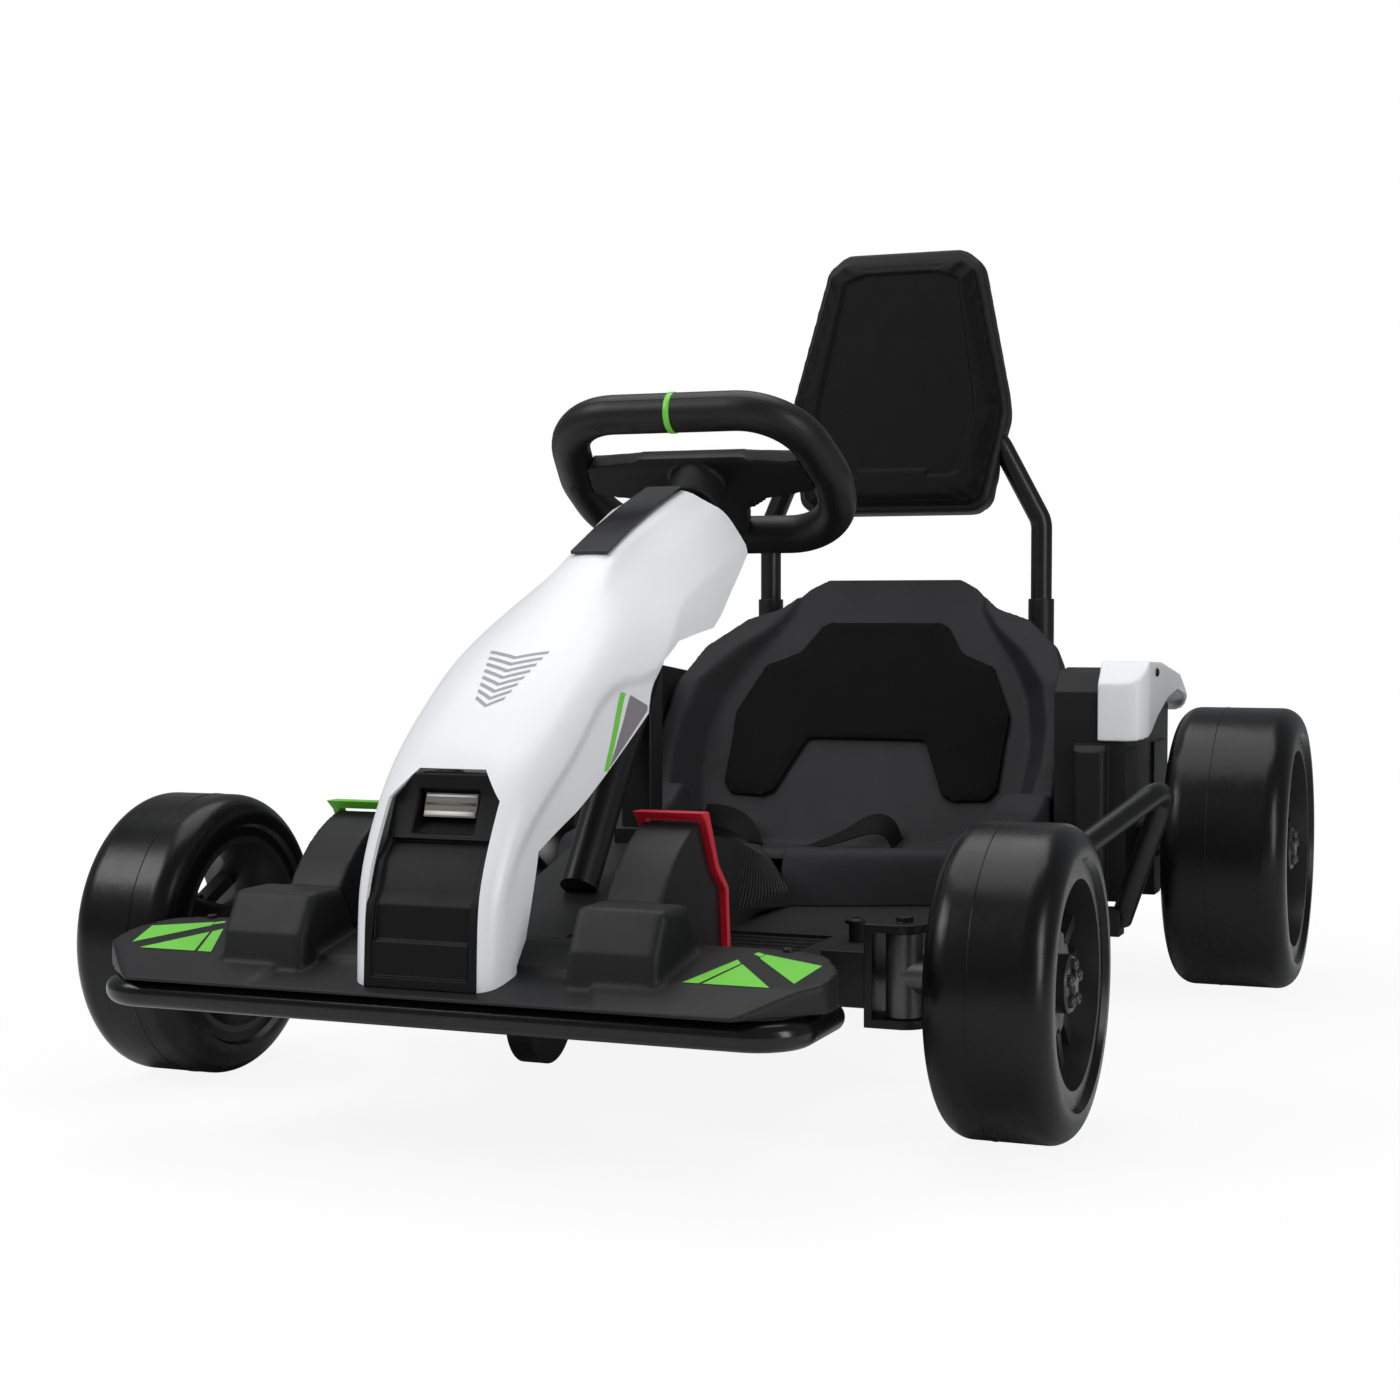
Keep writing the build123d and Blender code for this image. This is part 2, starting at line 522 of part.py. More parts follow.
NOSE_EDGE = [sunk(-270)] + WING_SEAT + [
    (-198, 150), (-190, 178), (-182, 204), (-140, 225), (-39, 287), (-34, 300), (-22, 323), (8, 337),
    (78, 346), (94, 355), (160, 403), (160, 520), (-100, 480), (-300, 300)]
with BuildPart() as nose_shell:
    add(nose_body(0))
    add(nose_body(NOSE_WALL), mode=Mode.SUBTRACT)
    slab(NOSE_EDGE, -120, 120, Mode.INTERSECT)
    with BuildSketch(Plane.XZ.offset(-FRONT_Y + 270)):
        grille_front(0)
    extrude(amount=-90, mode=Mode.SUBTRACT)
save(largest(nose_shell.part), "nose_shell")

LAMP_X, LAMP_Z = 19, (226, 241)
GRILLE_RIM, GRILLE_SINK = 6, 2             # black rim each side, and how far the middle is sunk
GRILLE_LINE = [(-239, 155), (-236, 173), (-230, 181), (-223, 199), (-210, 213), (-199, 238), (-197, 254)]
with BuildPart() as nose_grille:
    slab([WING_SEAT[0]] + GRILLE_LINE + [(-180, 254), (-180, 150)] + WING_SEAT[:0:-1], -GRILLE_X, GRILLE_X)
    with BuildSketch(Plane.XZ.offset(-FRONT_Y + 270)):
        grille_front(SEAT_GAP)
    extrude(amount=-90, mode=Mode.INTERSECT)
    # sunk panels of the middle, each stepped from the next
    inner = GRILLE_X - GRILLE_RIM
    slab([(-260, 128), (-239, 128), (-238, 150), (-236, 151), (-233, 173), (-227, 181), (-220, 199), (-207, 211),
          (-230, 226), (-260, 226)], -inner, inner, Mode.SUBTRACT)
    slab([(-232, LAMP_Z[0] - 10), (-206, LAMP_Z[0] - 10), (-190, LAMP_Z[0]), (-190, LAMP_Z[1] + 3),
          (-232, LAMP_Z[1] + 3)], -LAMP_X - 3, LAMP_X + 3, Mode.SUBTRACT)
save(nose_grille.part, "nose_grille")
with BuildPart() as headlamp_lens:
    slab([(-199, LAMP_Z[0]), (-194, LAMP_Z[1]), (-190, LAMP_Z[1]), (-190, LAMP_Z[0])], -LAMP_X, LAMP_X)
save(headlamp_lens.part, "headlamp_lens")

DASH_X, DASH_T = 15, 2.5
with BuildPart() as dash_strip:
    crown = [(s, z) for s, z, *_ in NOSE_STATIONS[-4:]]
    slab(crown + [(s - 1, z + DASH_T) for s, z in reversed(crown)], -DASH_X, DASH_X)
save(dash_strip.part, "dash_strip")

# Steering column, wheel and hub
TILT_C, TILT_S = cos(radians(COLUMN_TILT)), sin(radians(COLUMN_TILT))


def column_plane(t):
    """Plane square to the column, t along it from the steering wheel's centre."""
    return Plane(origin=(0, HUB_Y + t * TILT_C, HUB_Z + t * TILT_S), x_dir=(1, 0, 0),
                 z_dir=(0, TILT_C, TILT_S))


COLUMN_FOOT, COLUMN_HEAD = -396, -48
with BuildPart() as column_tube:
    with BuildSketch(column_plane(COLUMN_FOOT)):
        Circle(COLUMN_R)
    extrude(amount=COLUMN_HEAD - COLUMN_FOOT)
    # post from the tunnel to the column, with its foot block
    slab([(101, 180), (125, 180), (125, 320), (101, 288)], -12, 12)
    slab([(97, 176), (129, 176), (129, 191), (97, 191)], -17, 17)
    with BuildSketch(column_plane(COLUMN_FOOT + 30)):
        Circle(SHAFT_R + RUN_GAP)
    extrude(amount=COLUMN_HEAD - COLUMN_FOOT, mode=Mode.SUBTRACT)
    add(floor_pan.part, mode=Mode.SUBTRACT)
save(largest(column_tube.part), "column_tube")

with BuildPart() as steering_rim:
    with BuildLine(column_plane(0)) as loop:
        FilletPolyline(*mirrored(((98, -72), (112, 8), (104, 83))), radius=55, close=True)
    loop_wire = loop.wires()[0]
    with BuildSketch(Plane(loop_wire @ 0, z_dir=loop_wire % 0)):
        Circle(RIM_R)
    sweep(path=loop_wire)
save(steering_rim.part, "steering_rim")

with BuildPart() as steering_hub:
    # shaft and boss
    with BuildSketch(column_plane(COLUMN_FOOT + 31)):
        Circle(SHAFT_R)
    extrude(amount=-COLUMN_FOOT - 31 - 30)
    with BuildSketch(column_plane(COLUMN_HEAD + 2 * MOVE_GAP)):
        Circle(22)
    extrude(amount=34)
    # side arms and the shroud down to the rim
    with BuildSketch(column_plane(-10)):
        Polygon(*mirrored(((46, -22), (116, -16), (116, 12), (50, 26), (34, 30), (19, 88))), align=None)
    extrude(amount=15)
    # raised pad
    with BuildSketch(column_plane(-8)):
        Polygon(*mirrored(((46, -26), (60, -6), (52, 30), (34, 40))), align=None)
    with BuildSketch(column_plane(11)):
        Polygon(*mirrored(((34, -12), (42, -4), (38, 26), (26, 32))), align=None)
    loft(ruled=True)
    add(steering_rim.part, mode=Mode.SUBTRACT)
save(largest(steering_hub.part), "steering_hub")

# Pedals: a sector cover with a coloured hoop round the foot face
PEDAL_X0, PEDAL_X1, BAND = 97, 137, 5
PEDAL_FACE = [(-66, FLOOR_Z), (-72, 170), (-90, 186), (-108, 219)]
for side, name in ((1, "brake"), (-1, "accelerator")):
    x0, x1 = (PEDAL_X0, PEDAL_X1) if side > 0 else (-PEDAL_X1, -PEDAL_X0)
    with BuildPart() as pedal:
        with BuildSketch(Plane.YZ.offset(x0)):
            with BuildLine():
                Polyline(*[(FRONT_Y + s, z) for s, z in [(-137, FLOOR_Z)] + PEDAL_FACE])
                ThreePointArc(*[(FRONT_Y + s, z) for s, z in ((-108, 219), (-160, 188), (-184, 149))])
                Polyline(*[(FRONT_Y + s, z) for s, z in ((-184, 149), (-184, 132), (-137, 132), (-137, FLOOR_Z))])
            make_face()
        extrude(amount=x1 - x0)
        add(front_wing.part, mode=Mode.SUBTRACT)
    pedal_body = largest(pedal.part)
    save(pedal_body, f"pedal_{name}")
    with BuildPart() as band:
        slab(PEDAL_FACE + [(-117, 226), (-103, 226), (-85, 189), (-67, 172), (-61, FLOOR_Z)], x0 - BAND, x1 + BAND)
        slab([(-57, 100), (-130, 100), (-130, 190), (-110, 221), (-96, 221), (-57, 180)], x0 + 1, x1 - 1, Mode.SUBTRACT)
        add(pedal_body, mode=Mode.SUBTRACT)
    save(largest(band.part), f"{name}_band")

# Seat: a hollow base with a rolled front, a sunk bucket, bolsters and a back with side wings
SEAT_LEAN, SEAT_Z, BACK_WING, BACK_T = 30, 140, 40, 20
SEAT_ORIGIN = Plane(origin=(0, FRONT_Y + SEAT_BACK_S, SEAT_Z), x_dir=(1, 0, 0),
                    z_dir=(0, -cos(radians(SEAT_LEAN)), sin(radians(SEAT_LEAN))))
SEAT_X = 211
BACK_OUTLINE = ((150, -40), (SEAT_X - 3, 15), (213, 90), (209, 145), (190, 200), (155, 238), (118, 253),
                (92, 280), (74, 291))
WING_INNER = ((146, -17), (160, 0), (170, 60), (172, 100), (162, 150), (142, 190), (120, 222), (104, 250),
              (96, 320))
WING_OUTER = ((172, -55), (186, 0), (197, 60), (198, 100), (190, 150), (168, 205), (140, 235), (112, 262),
              (100, 320))
# plan outline of the front at each height, from the middle to the side
SEAT_FRONT = (
    (FLOOR_Z, ((49, 318), (91, 333), (156, 362), (180, 372), (SEAT_X, 400))),
    (140, ((47, 334), (89, 342), (154, 366), (179, 375), (SEAT_X - 1, 402))),
    (149, ((46, 341), (88, 349), (153, 371), (177, 380), (SEAT_X - 4, 405))),
    (152, ((45, 352), (87, 359), (151, 380), (173, 388), (SEAT_X - 11, 411))),
)
base_rear = SEAT_BACK_S + 28
with BuildPart() as seat_hollow:
    with BuildSketch(Plane.XY.offset(70)):
        Polygon(*plan(((46, 325), (88, 341), (144, 366), (144, SEAT_BACK_S))), align=None)
    extrude(amount=100)
    slab([(300, 70), (300, 134), (350, 145), (380, 142), (470, 121), (SEAT_BACK_S - 80, 107), (SEAT_BACK_S, 116),
          (SEAT_BACK_S, 70)], -150, 150, Mode.INTERSECT)
with BuildPart() as seat_shell:
    # base and its rolled front
    for z, front in SEAT_FRONT:
        with BuildSketch(Plane.XY.offset(z)):
            Polygon(*plan(front + ((front[-1][0], base_rear),)), align=None)
    loft(ruled=True)
    slab([(PAN_REAR + 2, RAIL_TOP), (PAN_REAR + 2, FLOOR_Z), (base_rear, FLOOR_Z), (base_rear, RAIL_TOP)],
         -SEAT_X, SEAT_X)
    # bolsters along the sides
    for x0 in (-SEAT_X, 150):
        slab([(408, 150), (440, 154), (SEAT_BACK_S - 140, 160), (SEAT_BACK_S - 80, 170), (SEAT_BACK_S - 30, 190),
              (SEAT_BACK_S + 50, 210), (base_rear, 140)], x0, x0 + SEAT_X - 150)
    # back with its wings
    with BuildSketch(SEAT_ORIGIN.offset(-BACK_T)) as outline:
        Polygon(*mirrored(BACK_OUTLINE), align=None)
        fillet(outline.vertices().filter_by_position(Axis.Y, FRONT_Y + SEAT_BACK_S, 9999), 10)
    extrude(amount=BACK_T + BACK_WING)
    with BuildSketch(SEAT_ORIGIN):
        Polygon(*mirrored(WING_INNER), align=None)
    with BuildSketch(SEAT_ORIGIN.offset(BACK_WING + 4)):
        Polygon(*mirrored(WING_OUTER), align=None)
    loft(ruled=True, mode=Mode.SUBTRACT)
    # the wings fade towards the top
    slab([(SEAT_BACK_S - 60, 190), (SEAT_BACK_S - 25, 180), (SEAT_BACK_S + 46, 287), (SEAT_BACK_S + 108, 345),
          (SEAT_BACK_S + 158, 410), (SEAT_BACK_S - 140, 410)], -300, 300, Mode.SUBTRACT)
    # bucket
    for s, z, foot, wide in ((350, 151.5, 118, 146), (470, 128, 132, 176), (SEAT_BACK_S - 80, 112, 136, 184),
                             (SEAT_BACK_S - 10, 124, 140, 178)):
        with BuildSketch(Plane.XZ.offset(-FRONT_Y - s)):
            Polygon(*mirrored(((foot, z), (wide, 222))), align=None)
    loft(ruled=True, mode=Mode.SUBTRACT)
    # hollow underneath
    add(seat_hollow.part, mode=Mode.SUBTRACT)
    for x0 in (-SEAT_X + 6, 162):
        slab([(416, 80), (416, 128), (SEAT_BACK_S - 140, 134), (SEAT_BACK_S - 40, 140), (SEAT_BACK_S, 80)],
             x0, x0 + SEAT_X - 168, Mode.SUBTRACT)
    # room for the axle
    slab([(AXLE_S - 17, 60), (AXLE_S - 17, REAR_TYRE_R + 29), (AXLE_S + 41, REAR_TYRE_R + 29), (AXLE_S + 41, 60)],
         -250, 250, Mode.SUBTRACT)
    add(floor_pan.part, mode=Mode.SUBTRACT)
save(largest(seat_shell.part), "seat_shell")

PAD_T = 6
with BuildPart() as seat_back_pad:
    with BuildSketch(SEAT_ORIGIN.offset(SEAT_GAP)) as outline:
        Polygon(*mirrored(((62, 98), (88, 37), (100, 31), (136, 33), (146, 46), (148, 130), (124, 185),
                           (88, 201), (70, 232), (60, 237))), align=None)
        fillet(outline.vertices(), 6)
    extrude(amount=PAD_T)
save(seat_back_pad.part, "seat_back_pad")

# Rear housings, the box behind the seat and the mudguards
HOUSE_REAR = UPRIGHT_S + COLLAR_R + 2
GUARD_X, GUARD_T = (258, 304), 4
HOUSE_TOP = [(AXLE_S - 85, 282), (AXLE_S - 70, 301), (AXLE_S - 30, 304), (AXLE_S + 100, 290), (AXLE_S + 155, 262)]
with BuildPart() as rear_housing:
    for side in (1, -1):
        x0, x1 = HOUSE_X if side > 0 else (-HOUSE_X[1], -HOUSE_X[0])
        outer = x1 if side > 0 else x0
        slab([(AXLE_S - 85, RAIL_TOP)] + HOUSE_TOP + [(AXLE_S + 155, RAIL_TOP)], x0, x1)
        # bulge low on the front, side panels and the gearbox lug
        b0, b1 = (236, 267) if side > 0 else (-267, -236)
        with BuildPart(mode=Mode.PRIVATE) as bulge:
            slab([(AXLE_S - 97, RAIL_TOP), (AXLE_S - 97, 226), (AXLE_S - 91, 233), (AXLE_S - 80, 233),
                  (AXLE_S - 80, RAIL_TOP)], b0, b1)
            fillet(bulge.edges().filter_by(Axis.Z).filter_by_position(Axis.Y, -999, FRONT_Y + AXLE_S - 90), 7)
        add(bulge.part)
        for s0, s1 in ((AXLE_S - 85, AXLE_S - 5 - 24), (AXLE_S + 60, AXLE_S + 128)):
            slab([(s0, 92), (s1, 92), (s1, 228), (s0, 228)], outer - 3, outer + 3)
        slab([(AXLE_S - 20, 88), (AXLE_S - 14, 84), (AXLE_S + 14, 84), (AXLE_S + 20, 88), (AXLE_S + 20, 150),
              (AXLE_S - 20, 150)], outer if side > 0 else outer - 18, outer + 18 if side > 0 else outer)
        slab([(AXLE_S - 81, 80)] + [(s + 4 * (s < AXLE_S) - 4 * (s > AXLE_S), z - 4) for s, z in HOUSE_TOP]
             + [(AXLE_S + 151, 80)], x0 + HOUSE_WALL, x1 - HOUSE_WALL, Mode.SUBTRACT)
        with BuildSketch(Plane.YZ.offset(-330)):
            with Locations((REAR_Y, REAR_TYRE_R)):
                Circle(REAR_AXLE_R + 3)
        extrude(amount=660, mode=Mode.SUBTRACT)
    box_front, box_rear = HOUSE_REAR - 38, HOUSE_REAR + 4
    slab([(box_front, RAIL_TOP), (box_front, 270), (box_rear, 270), (box_rear, RAIL_TOP)], -HOUSE_X[0],
         HOUSE_X[0])
    slab([(box_front + 4, RAIL_TOP - 5), (box_front + 4, 266), (HOUSE_REAR, 266), (HOUSE_REAR, RAIL_TOP - 5)],
         -HOUSE_X[0] - 4, HOUSE_X[0] + 4, Mode.SUBTRACT)
    for side in (-1, 1):
        with BuildSketch(Plane.XY.offset(250)):
            with Locations((side * POST_X, POST_Y)):
                Circle(COLLAR_R)
        extrude(amount=40, mode=Mode.SUBTRACT)
save(rear_housing.part, "rear_housing")

# mudguard: a rounded cap over the housing's outer edge, open below and inside
GUARD_TOP = [(AXLE_S - 89, 290), (AXLE_S - 71, 311), (AXLE_S - 4, 309), (AXLE_S + 100, 295), (AXLE_S + 159, 266)]
GUARD_ARCH = [(AXLE_S - 89, 236), (AXLE_S - 60, 243), (AXLE_S - 23, 258), (AXLE_S + 31, 273), (AXLE_S + 89, 280),
              (AXLE_S + 138, 273), (AXLE_S + 159, 254)]
with BuildPart() as rear_fender:
    slab([(AXLE_S - 89, 200)] + GUARD_TOP + [(AXLE_S + 159, 200)], *GUARD_X)
    fillet(rear_fender.edges().filter_by(Axis.Z).filter_by_position(Axis.X, GUARD_X[1] - 1, GUARD_X[1] + 1), 20)
    with BuildPart(mode=Mode.PRIVATE) as cavity:
        slab([(AXLE_S - 85, 190), (AXLE_S - 85, 286), (AXLE_S - 69, 307), (AXLE_S - 4, 305), (AXLE_S + 99, 291),
              (AXLE_S + 155, 264), (AXLE_S + 155, 190)], GUARD_X[0] - 4, GUARD_X[1] - GUARD_T)
        fillet(cavity.edges().filter_by(Axis.Z).filter_by_position(Axis.X, GUARD_X[1] - 5, GUARD_X[1]), 16)
    add(cavity.part, mode=Mode.SUBTRACT)
    slab([(AXLE_S - 95, 180)] + [(AXLE_S - 95, 236)] + GUARD_ARCH + [(AXLE_S + 170, 254), (AXLE_S + 170, 180)],
         GUARD_X[0] - 10, GUARD_X[1] + 10, Mode.SUBTRACT)
save(largest(rear_fender.part), "rear_fender_left")
save(mirror(largest(rear_fender.part), about=Plane.YZ), "rear_fender_right")

# Backrest
BACK_PLANE = Plane(origin=(0, FRONT_Y + BACK_S, BACK_Z), x_dir=(1, 0, 0),
                   z_dir=(0, -cos(radians(BACK_LEAN)), sin(radians(BACK_LEAN))))
HOOP_X, HOOP_Z, HOOP_Y = 104, 545, POST_Y - 16
hoop = mirrored([(POST_X, COLLAR_TOP - 70), (POST_X, 452), (HOOP_X, HOOP_Z)])
hoop = [(x, HOOP_Y if abs(x) == HOOP_X else POST_Y, z) for x, z in hoop]
save(tube(hoop, POST_R, TUBE_WALL, 30), "backrest_tubes")

PAD_OUTLINE = ((86, 0), (99, 9), (117, 97), (115, 115), (81, 254), (64, 267))
SHELL_OUTLINE = ((88, -5), (104, 5), (121, 97), (119, 117), (86, 262), (67, BACK_TALL))
with BuildPart() as backrest_pad:
    with BuildSketch(BACK_PLANE) as outline:
        Polygon(*mirrored(PAD_OUTLINE), align=None)
        fillet(outline.vertices(), 7)
    extrude(amount=-BACK_PAD_T)
save(backrest_pad.part, "backrest_pad")
with BuildPart() as backrest_shell:
    with BuildSketch(BACK_PLANE.offset(-BACK_PAD_T - SEAT_GAP)) as outline:
        Polygon(*mirrored(SHELL_OUTLINE), align=None)
        fillet(outline.vertices(), 8)
    extrude(amount=-BACK_SHELL_T)
    add(tube(hoop, POST_R, 0, 30), mode=Mode.SUBTRACT)
save(largest(backrest_shell.part), "backrest_shell")

# Guide wheel under the nose, in a fork that hangs from the subframe's arms
GUIDE_S, GUIDE_R, GUIDE_Z, GUIDE_W, GUIDE_AXLE_R = -68, 36, 78, 18, 4
with BuildPart() as guide_wheel:
    with BuildSketch(Plane.YZ.offset(-GUIDE_W / 2)):
        with Locations((FRONT_Y + GUIDE_S, GUIDE_Z)):
            Circle(GUIDE_R)
            Circle(GUIDE_AXLE_R + RUN_GAP, mode=Mode.SUBTRACT)
    extrude(amount=GUIDE_W)
save(guide_wheel.part, "guide_wheel")
FORK_T, FORK_TOP = 3, GUIDE_Z + GUIDE_R + MOVE_GAP
leg = GUIDE_W / 2 + 1                      # inner side of a fork leg
with BuildPart() as guide_fork:
    for side in (-1, 1):
        x0 = leg if side > 0 else -leg - FORK_T
        slab([(GUIDE_S - 12, GUIDE_Z - 12), (GUIDE_S + 12, GUIDE_Z - 12), (GUIDE_S + 14, FORK_TOP + FORK_T),
              (GUIDE_S - 14, FORK_TOP + FORK_T)], x0, x0 + FORK_T)
        x0, x1 = (leg, ARM_X - ARM_W / 2) if side > 0 else (-ARM_X + ARM_W / 2, -leg)
        slab([(GUIDE_S - 14, RAIL_TOP + 6), (GUIDE_S + 14, RAIL_TOP + 6), (GUIDE_S + 14, RAIL_TOP + 12),
              (GUIDE_S - 14, RAIL_TOP + 12)], x0, x1)
    slab([(GUIDE_S - 14, FORK_TOP), (GUIDE_S + 14, FORK_TOP), (GUIDE_S + 14, FORK_TOP + FORK_T),
          (GUIDE_S - 14, FORK_TOP + FORK_T)], -leg - FORK_T, leg + FORK_T)
    with BuildSketch(Plane.YZ.offset(-leg - FORK_T)):
        with Locations((FRONT_Y + GUIDE_S, GUIDE_Z)):
            Circle(GUIDE_AXLE_R)
    extrude(amount=2 * (leg + FORK_T))
save(guide_fork.part, "guide_fork")
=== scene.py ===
import json
import math

import bmesh
import bpy
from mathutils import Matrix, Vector
from mathutils.bvhtree import BVHTree


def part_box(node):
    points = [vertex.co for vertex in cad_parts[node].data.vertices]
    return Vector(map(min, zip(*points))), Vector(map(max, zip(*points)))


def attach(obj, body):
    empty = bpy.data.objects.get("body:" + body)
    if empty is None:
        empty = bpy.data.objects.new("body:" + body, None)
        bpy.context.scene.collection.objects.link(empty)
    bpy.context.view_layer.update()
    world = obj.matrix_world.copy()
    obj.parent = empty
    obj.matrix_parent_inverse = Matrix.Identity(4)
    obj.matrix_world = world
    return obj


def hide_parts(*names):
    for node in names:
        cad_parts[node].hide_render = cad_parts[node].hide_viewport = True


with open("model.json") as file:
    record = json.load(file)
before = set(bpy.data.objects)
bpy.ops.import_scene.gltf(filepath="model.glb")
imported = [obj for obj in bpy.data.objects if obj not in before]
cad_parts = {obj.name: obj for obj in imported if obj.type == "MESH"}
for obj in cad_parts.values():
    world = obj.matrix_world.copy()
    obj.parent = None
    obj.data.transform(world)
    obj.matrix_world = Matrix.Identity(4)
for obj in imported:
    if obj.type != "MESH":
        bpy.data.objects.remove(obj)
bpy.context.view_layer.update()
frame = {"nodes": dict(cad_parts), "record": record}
NODES = frame["nodes"]

MM = 0.001
UP = Vector((0, 0, 1))
SIDES = ((1, "left"), (-1, "right"))
AXLE_Y = (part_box("tyre_front_left")[0].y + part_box("tyre_front_left")[1].y) / 2


def at(x, s, z):
    """Point in metres from millimetres: across, behind the front axle, up."""
    return Vector((x * MM, AXLE_Y + s * MM, z * MM))


# Materials

RAMP_BAND = 0.35, 0.65


class Nodes:
    """A material's node tree, with short calls to add and link nodes."""

    def __init__(self, name):
        self.mat = bpy.data.materials.new(name)
        self.mat.use_nodes = True
        self.tree = self.mat.node_tree
        self.shader = self.tree.nodes["Principled BSDF"]
        self.coords = self.add("ShaderNodeTexCoord").outputs["Object"]

    def add(self, kind, **values):
        node = self.tree.nodes.new(kind)
        for key, value in values.items():
            if key in node.inputs:
                node.inputs[key].default_value = value
            else:
                setattr(node, key, value)
        return node

    def link(self, out, socket):
        self.tree.links.new(out, socket)

    def set(self, **values):
        """Sets the shader's own sockets, with _ for each blank in a name."""
        for key, value in values.items():
            self.shader.inputs[key.replace("_", " ")].default_value = value

    def noise(self, scale, detail=3.0):
        node = self.add("ShaderNodeTexNoise", Scale=scale, Detail=detail)
        self.link(self.coords, node.inputs["Vector"])
        return node.outputs["Fac"]

    def ramp(self, fac, low, high):
        node = self.add("ShaderNodeValToRGB")
        band = node.color_ramp
        band.elements[0].position, band.elements[1].position = RAMP_BAND
        band.elements[0].color, band.elements[1].color = (*low, 1), (*high, 1)
        self.link(fac, node.inputs["Fac"])
        return node.outputs["Color"]

    def spread(self, fac, low, high):
        node = self.add("ShaderNodeMapRange")
        node.inputs["To Min"].default_value, node.inputs["To Max"].default_value = low, high
        self.link(fac, node.inputs["Value"])
        return node.outputs["Result"]

    def maths(self, operation, a, b=None):
        node = self.add("ShaderNodeMath", operation=operation)
        for socket, value in zip(node.inputs, (a, b)):
            if value is None:
                continue
            if isinstance(value, (int, float)):
                socket.default_value = value
            else:
                self.link(value, socket)
        return node.outputs[0]

    def along(self, direction):
        """How far the surface point lies along a direction, in metres."""
        node = self.add("ShaderNodeVectorMath", operation="DOT_PRODUCT")
        self.link(self.coords, node.inputs[0])
        node.inputs[1].default_value = direction
        return node.outputs["Value"]

    def waves(self, direction, pitch):
        """Sine ridges square to a direction, one for each pitch in metres."""
        turns = self.maths("MULTIPLY", self.along(direction), 2 * math.pi / pitch)
        return self.maths("SINE", turns)

    def inside(self, low, high):
        """1 in a box between two points in metres, 0 outside it."""
        share = None
        for axis in range(3):
            place = self.along([float(axis == i) for i in range(3)])
            both = self.maths("MULTIPLY", self.maths("GREATER_THAN", place, low[axis]),
                              self.maths("LESS_THAN", place, high[axis]))
            share = both if share is None else self.maths("MULTIPLY", share, both)
        return share

    def bump(self, height, depth, strength=1.0):
        """Adds a bump of a depth in metres on top of those that the shader has."""
        node = self.add("ShaderNodeBump", Distance=depth, Strength=strength)
        self.link(height, node.inputs["Height"])
        last = self.shader.inputs["Normal"]
        if last.is_linked:
            self.link(last.links[0].from_socket, node.inputs["Normal"])
        self.link(node.outputs["Normal"], last)


LOOKS = {}
BLOTCH_SCALE, GLOSS_SCALE, GLOSS_SPREAD = 9, 40, 0.06


def moulded(name, tint, rough, grain=(900, 0.00006), blotch=0.12, **sockets):
    """Moulded or painted surface: faint blotches, fine grain (scale, depth) and uneven gloss."""
    m = Nodes(name)
    low, high = [c * (1 - blotch) for c in tint], [min(1, c * (1 + blotch)) for c in tint]
    m.link(m.ramp(m.noise(BLOTCH_SCALE), low, high), m.shader.inputs["Base Color"])
    gloss = m.spread(m.noise(GLOSS_SCALE), rough - GLOSS_SPREAD, rough + GLOSS_SPREAD)
    m.link(gloss, m.shader.inputs["Roughness"])
    m.bump(m.noise(grain[0], 2.0), grain[1])
    m.set(**sockets)
    LOOKS[name] = m
    return m


moulded("frame_steel", (0.007, 0.007, 0.008), 0.42, Specular_IOR_Level=0.3)
moulded("gloss_tube", (0.004, 0.004, 0.004), 0.22, (500, 0.00003), Specular_IOR_Level=0.35)
moulded("tube_steel", (0.005, 0.005, 0.005), 0.34, Specular_IOR_Level=0.35)
moulded("black_plastic", (0.010, 0.010, 0.011), 0.52, Specular_IOR_Level=0.25)
moulded("seat_plastic", (0.018, 0.017, 0.019), 0.62, Specular_IOR_Level=0.2)
moulded("foam_pad", (0.005, 0.005, 0.005), 0.92, (700, 0.0004), Specular_IOR_Level=0.1)
moulded("backrest_skin", (0.003, 0.003, 0.003), 0.55, (600, 0.0002), Specular_IOR_Level=0.1)
moulded("white_plastic", (0.80, 0.81, 0.83), 0.33, (300, 0.00002), 0.01)
moulded("lamp_clear", (0.17, 0.16, 0.15), 0.12)
moulded("dash_gloss", (0.016, 0.016, 0.018), 0.2, (200, 0.00001), Specular_IOR_Level=0.4)
moulded("red_plastic", (0.58, 0.010, 0.026), 0.38)
moulded("green_plastic", (0.15, 0.60, 0.04), 0.4)
moulded("grip_plastic", (0.007, 0.007, 0.007), 0.42, Specular_IOR_Level=0.3)
moulded("zinc_steel", (0.10, 0.10, 0.10), 0.38, Metallic=0.8)
moulded("guide_rubber", (0.005, 0.005, 0.005), 0.5, Specular_IOR_Level=0.25)
moulded("tyre_black", (0.003, 0.003, 0.0033), 0.28, (60, 0.0002), Specular_IOR_Level=0.25)
moulded("rim_plastic", (0.018, 0.0175, 0.017), 0.34, Specular_IOR_Level=0.5)
moulded("decal_green", (0.17, 0.62, 0.06), 0.35, (900, 0.00001), 0.02)
moulded("decal_grey", (0.30, 0.30, 0.33), 0.4, (900, 0.00001), 0.02)
moulded("panel_grey", (0.22, 0.21, 0.23), 0.4, (900, 0.00001), 0.03)
moulded("webbing", (0.005, 0.005, 0.005), 0.8, (900, 0.0001), Specular_IOR_Level=0.15)
# The headlamp's light and dark strip colours are painted reflection.
moulded("lamp_painted_reflection_light", (0.75, 0.74, 0.70), 0.15, (300, 0.00002), 0.05)
moulded("lamp_painted_reflection_dark", (0.10, 0.08, 0.06), 0.15)
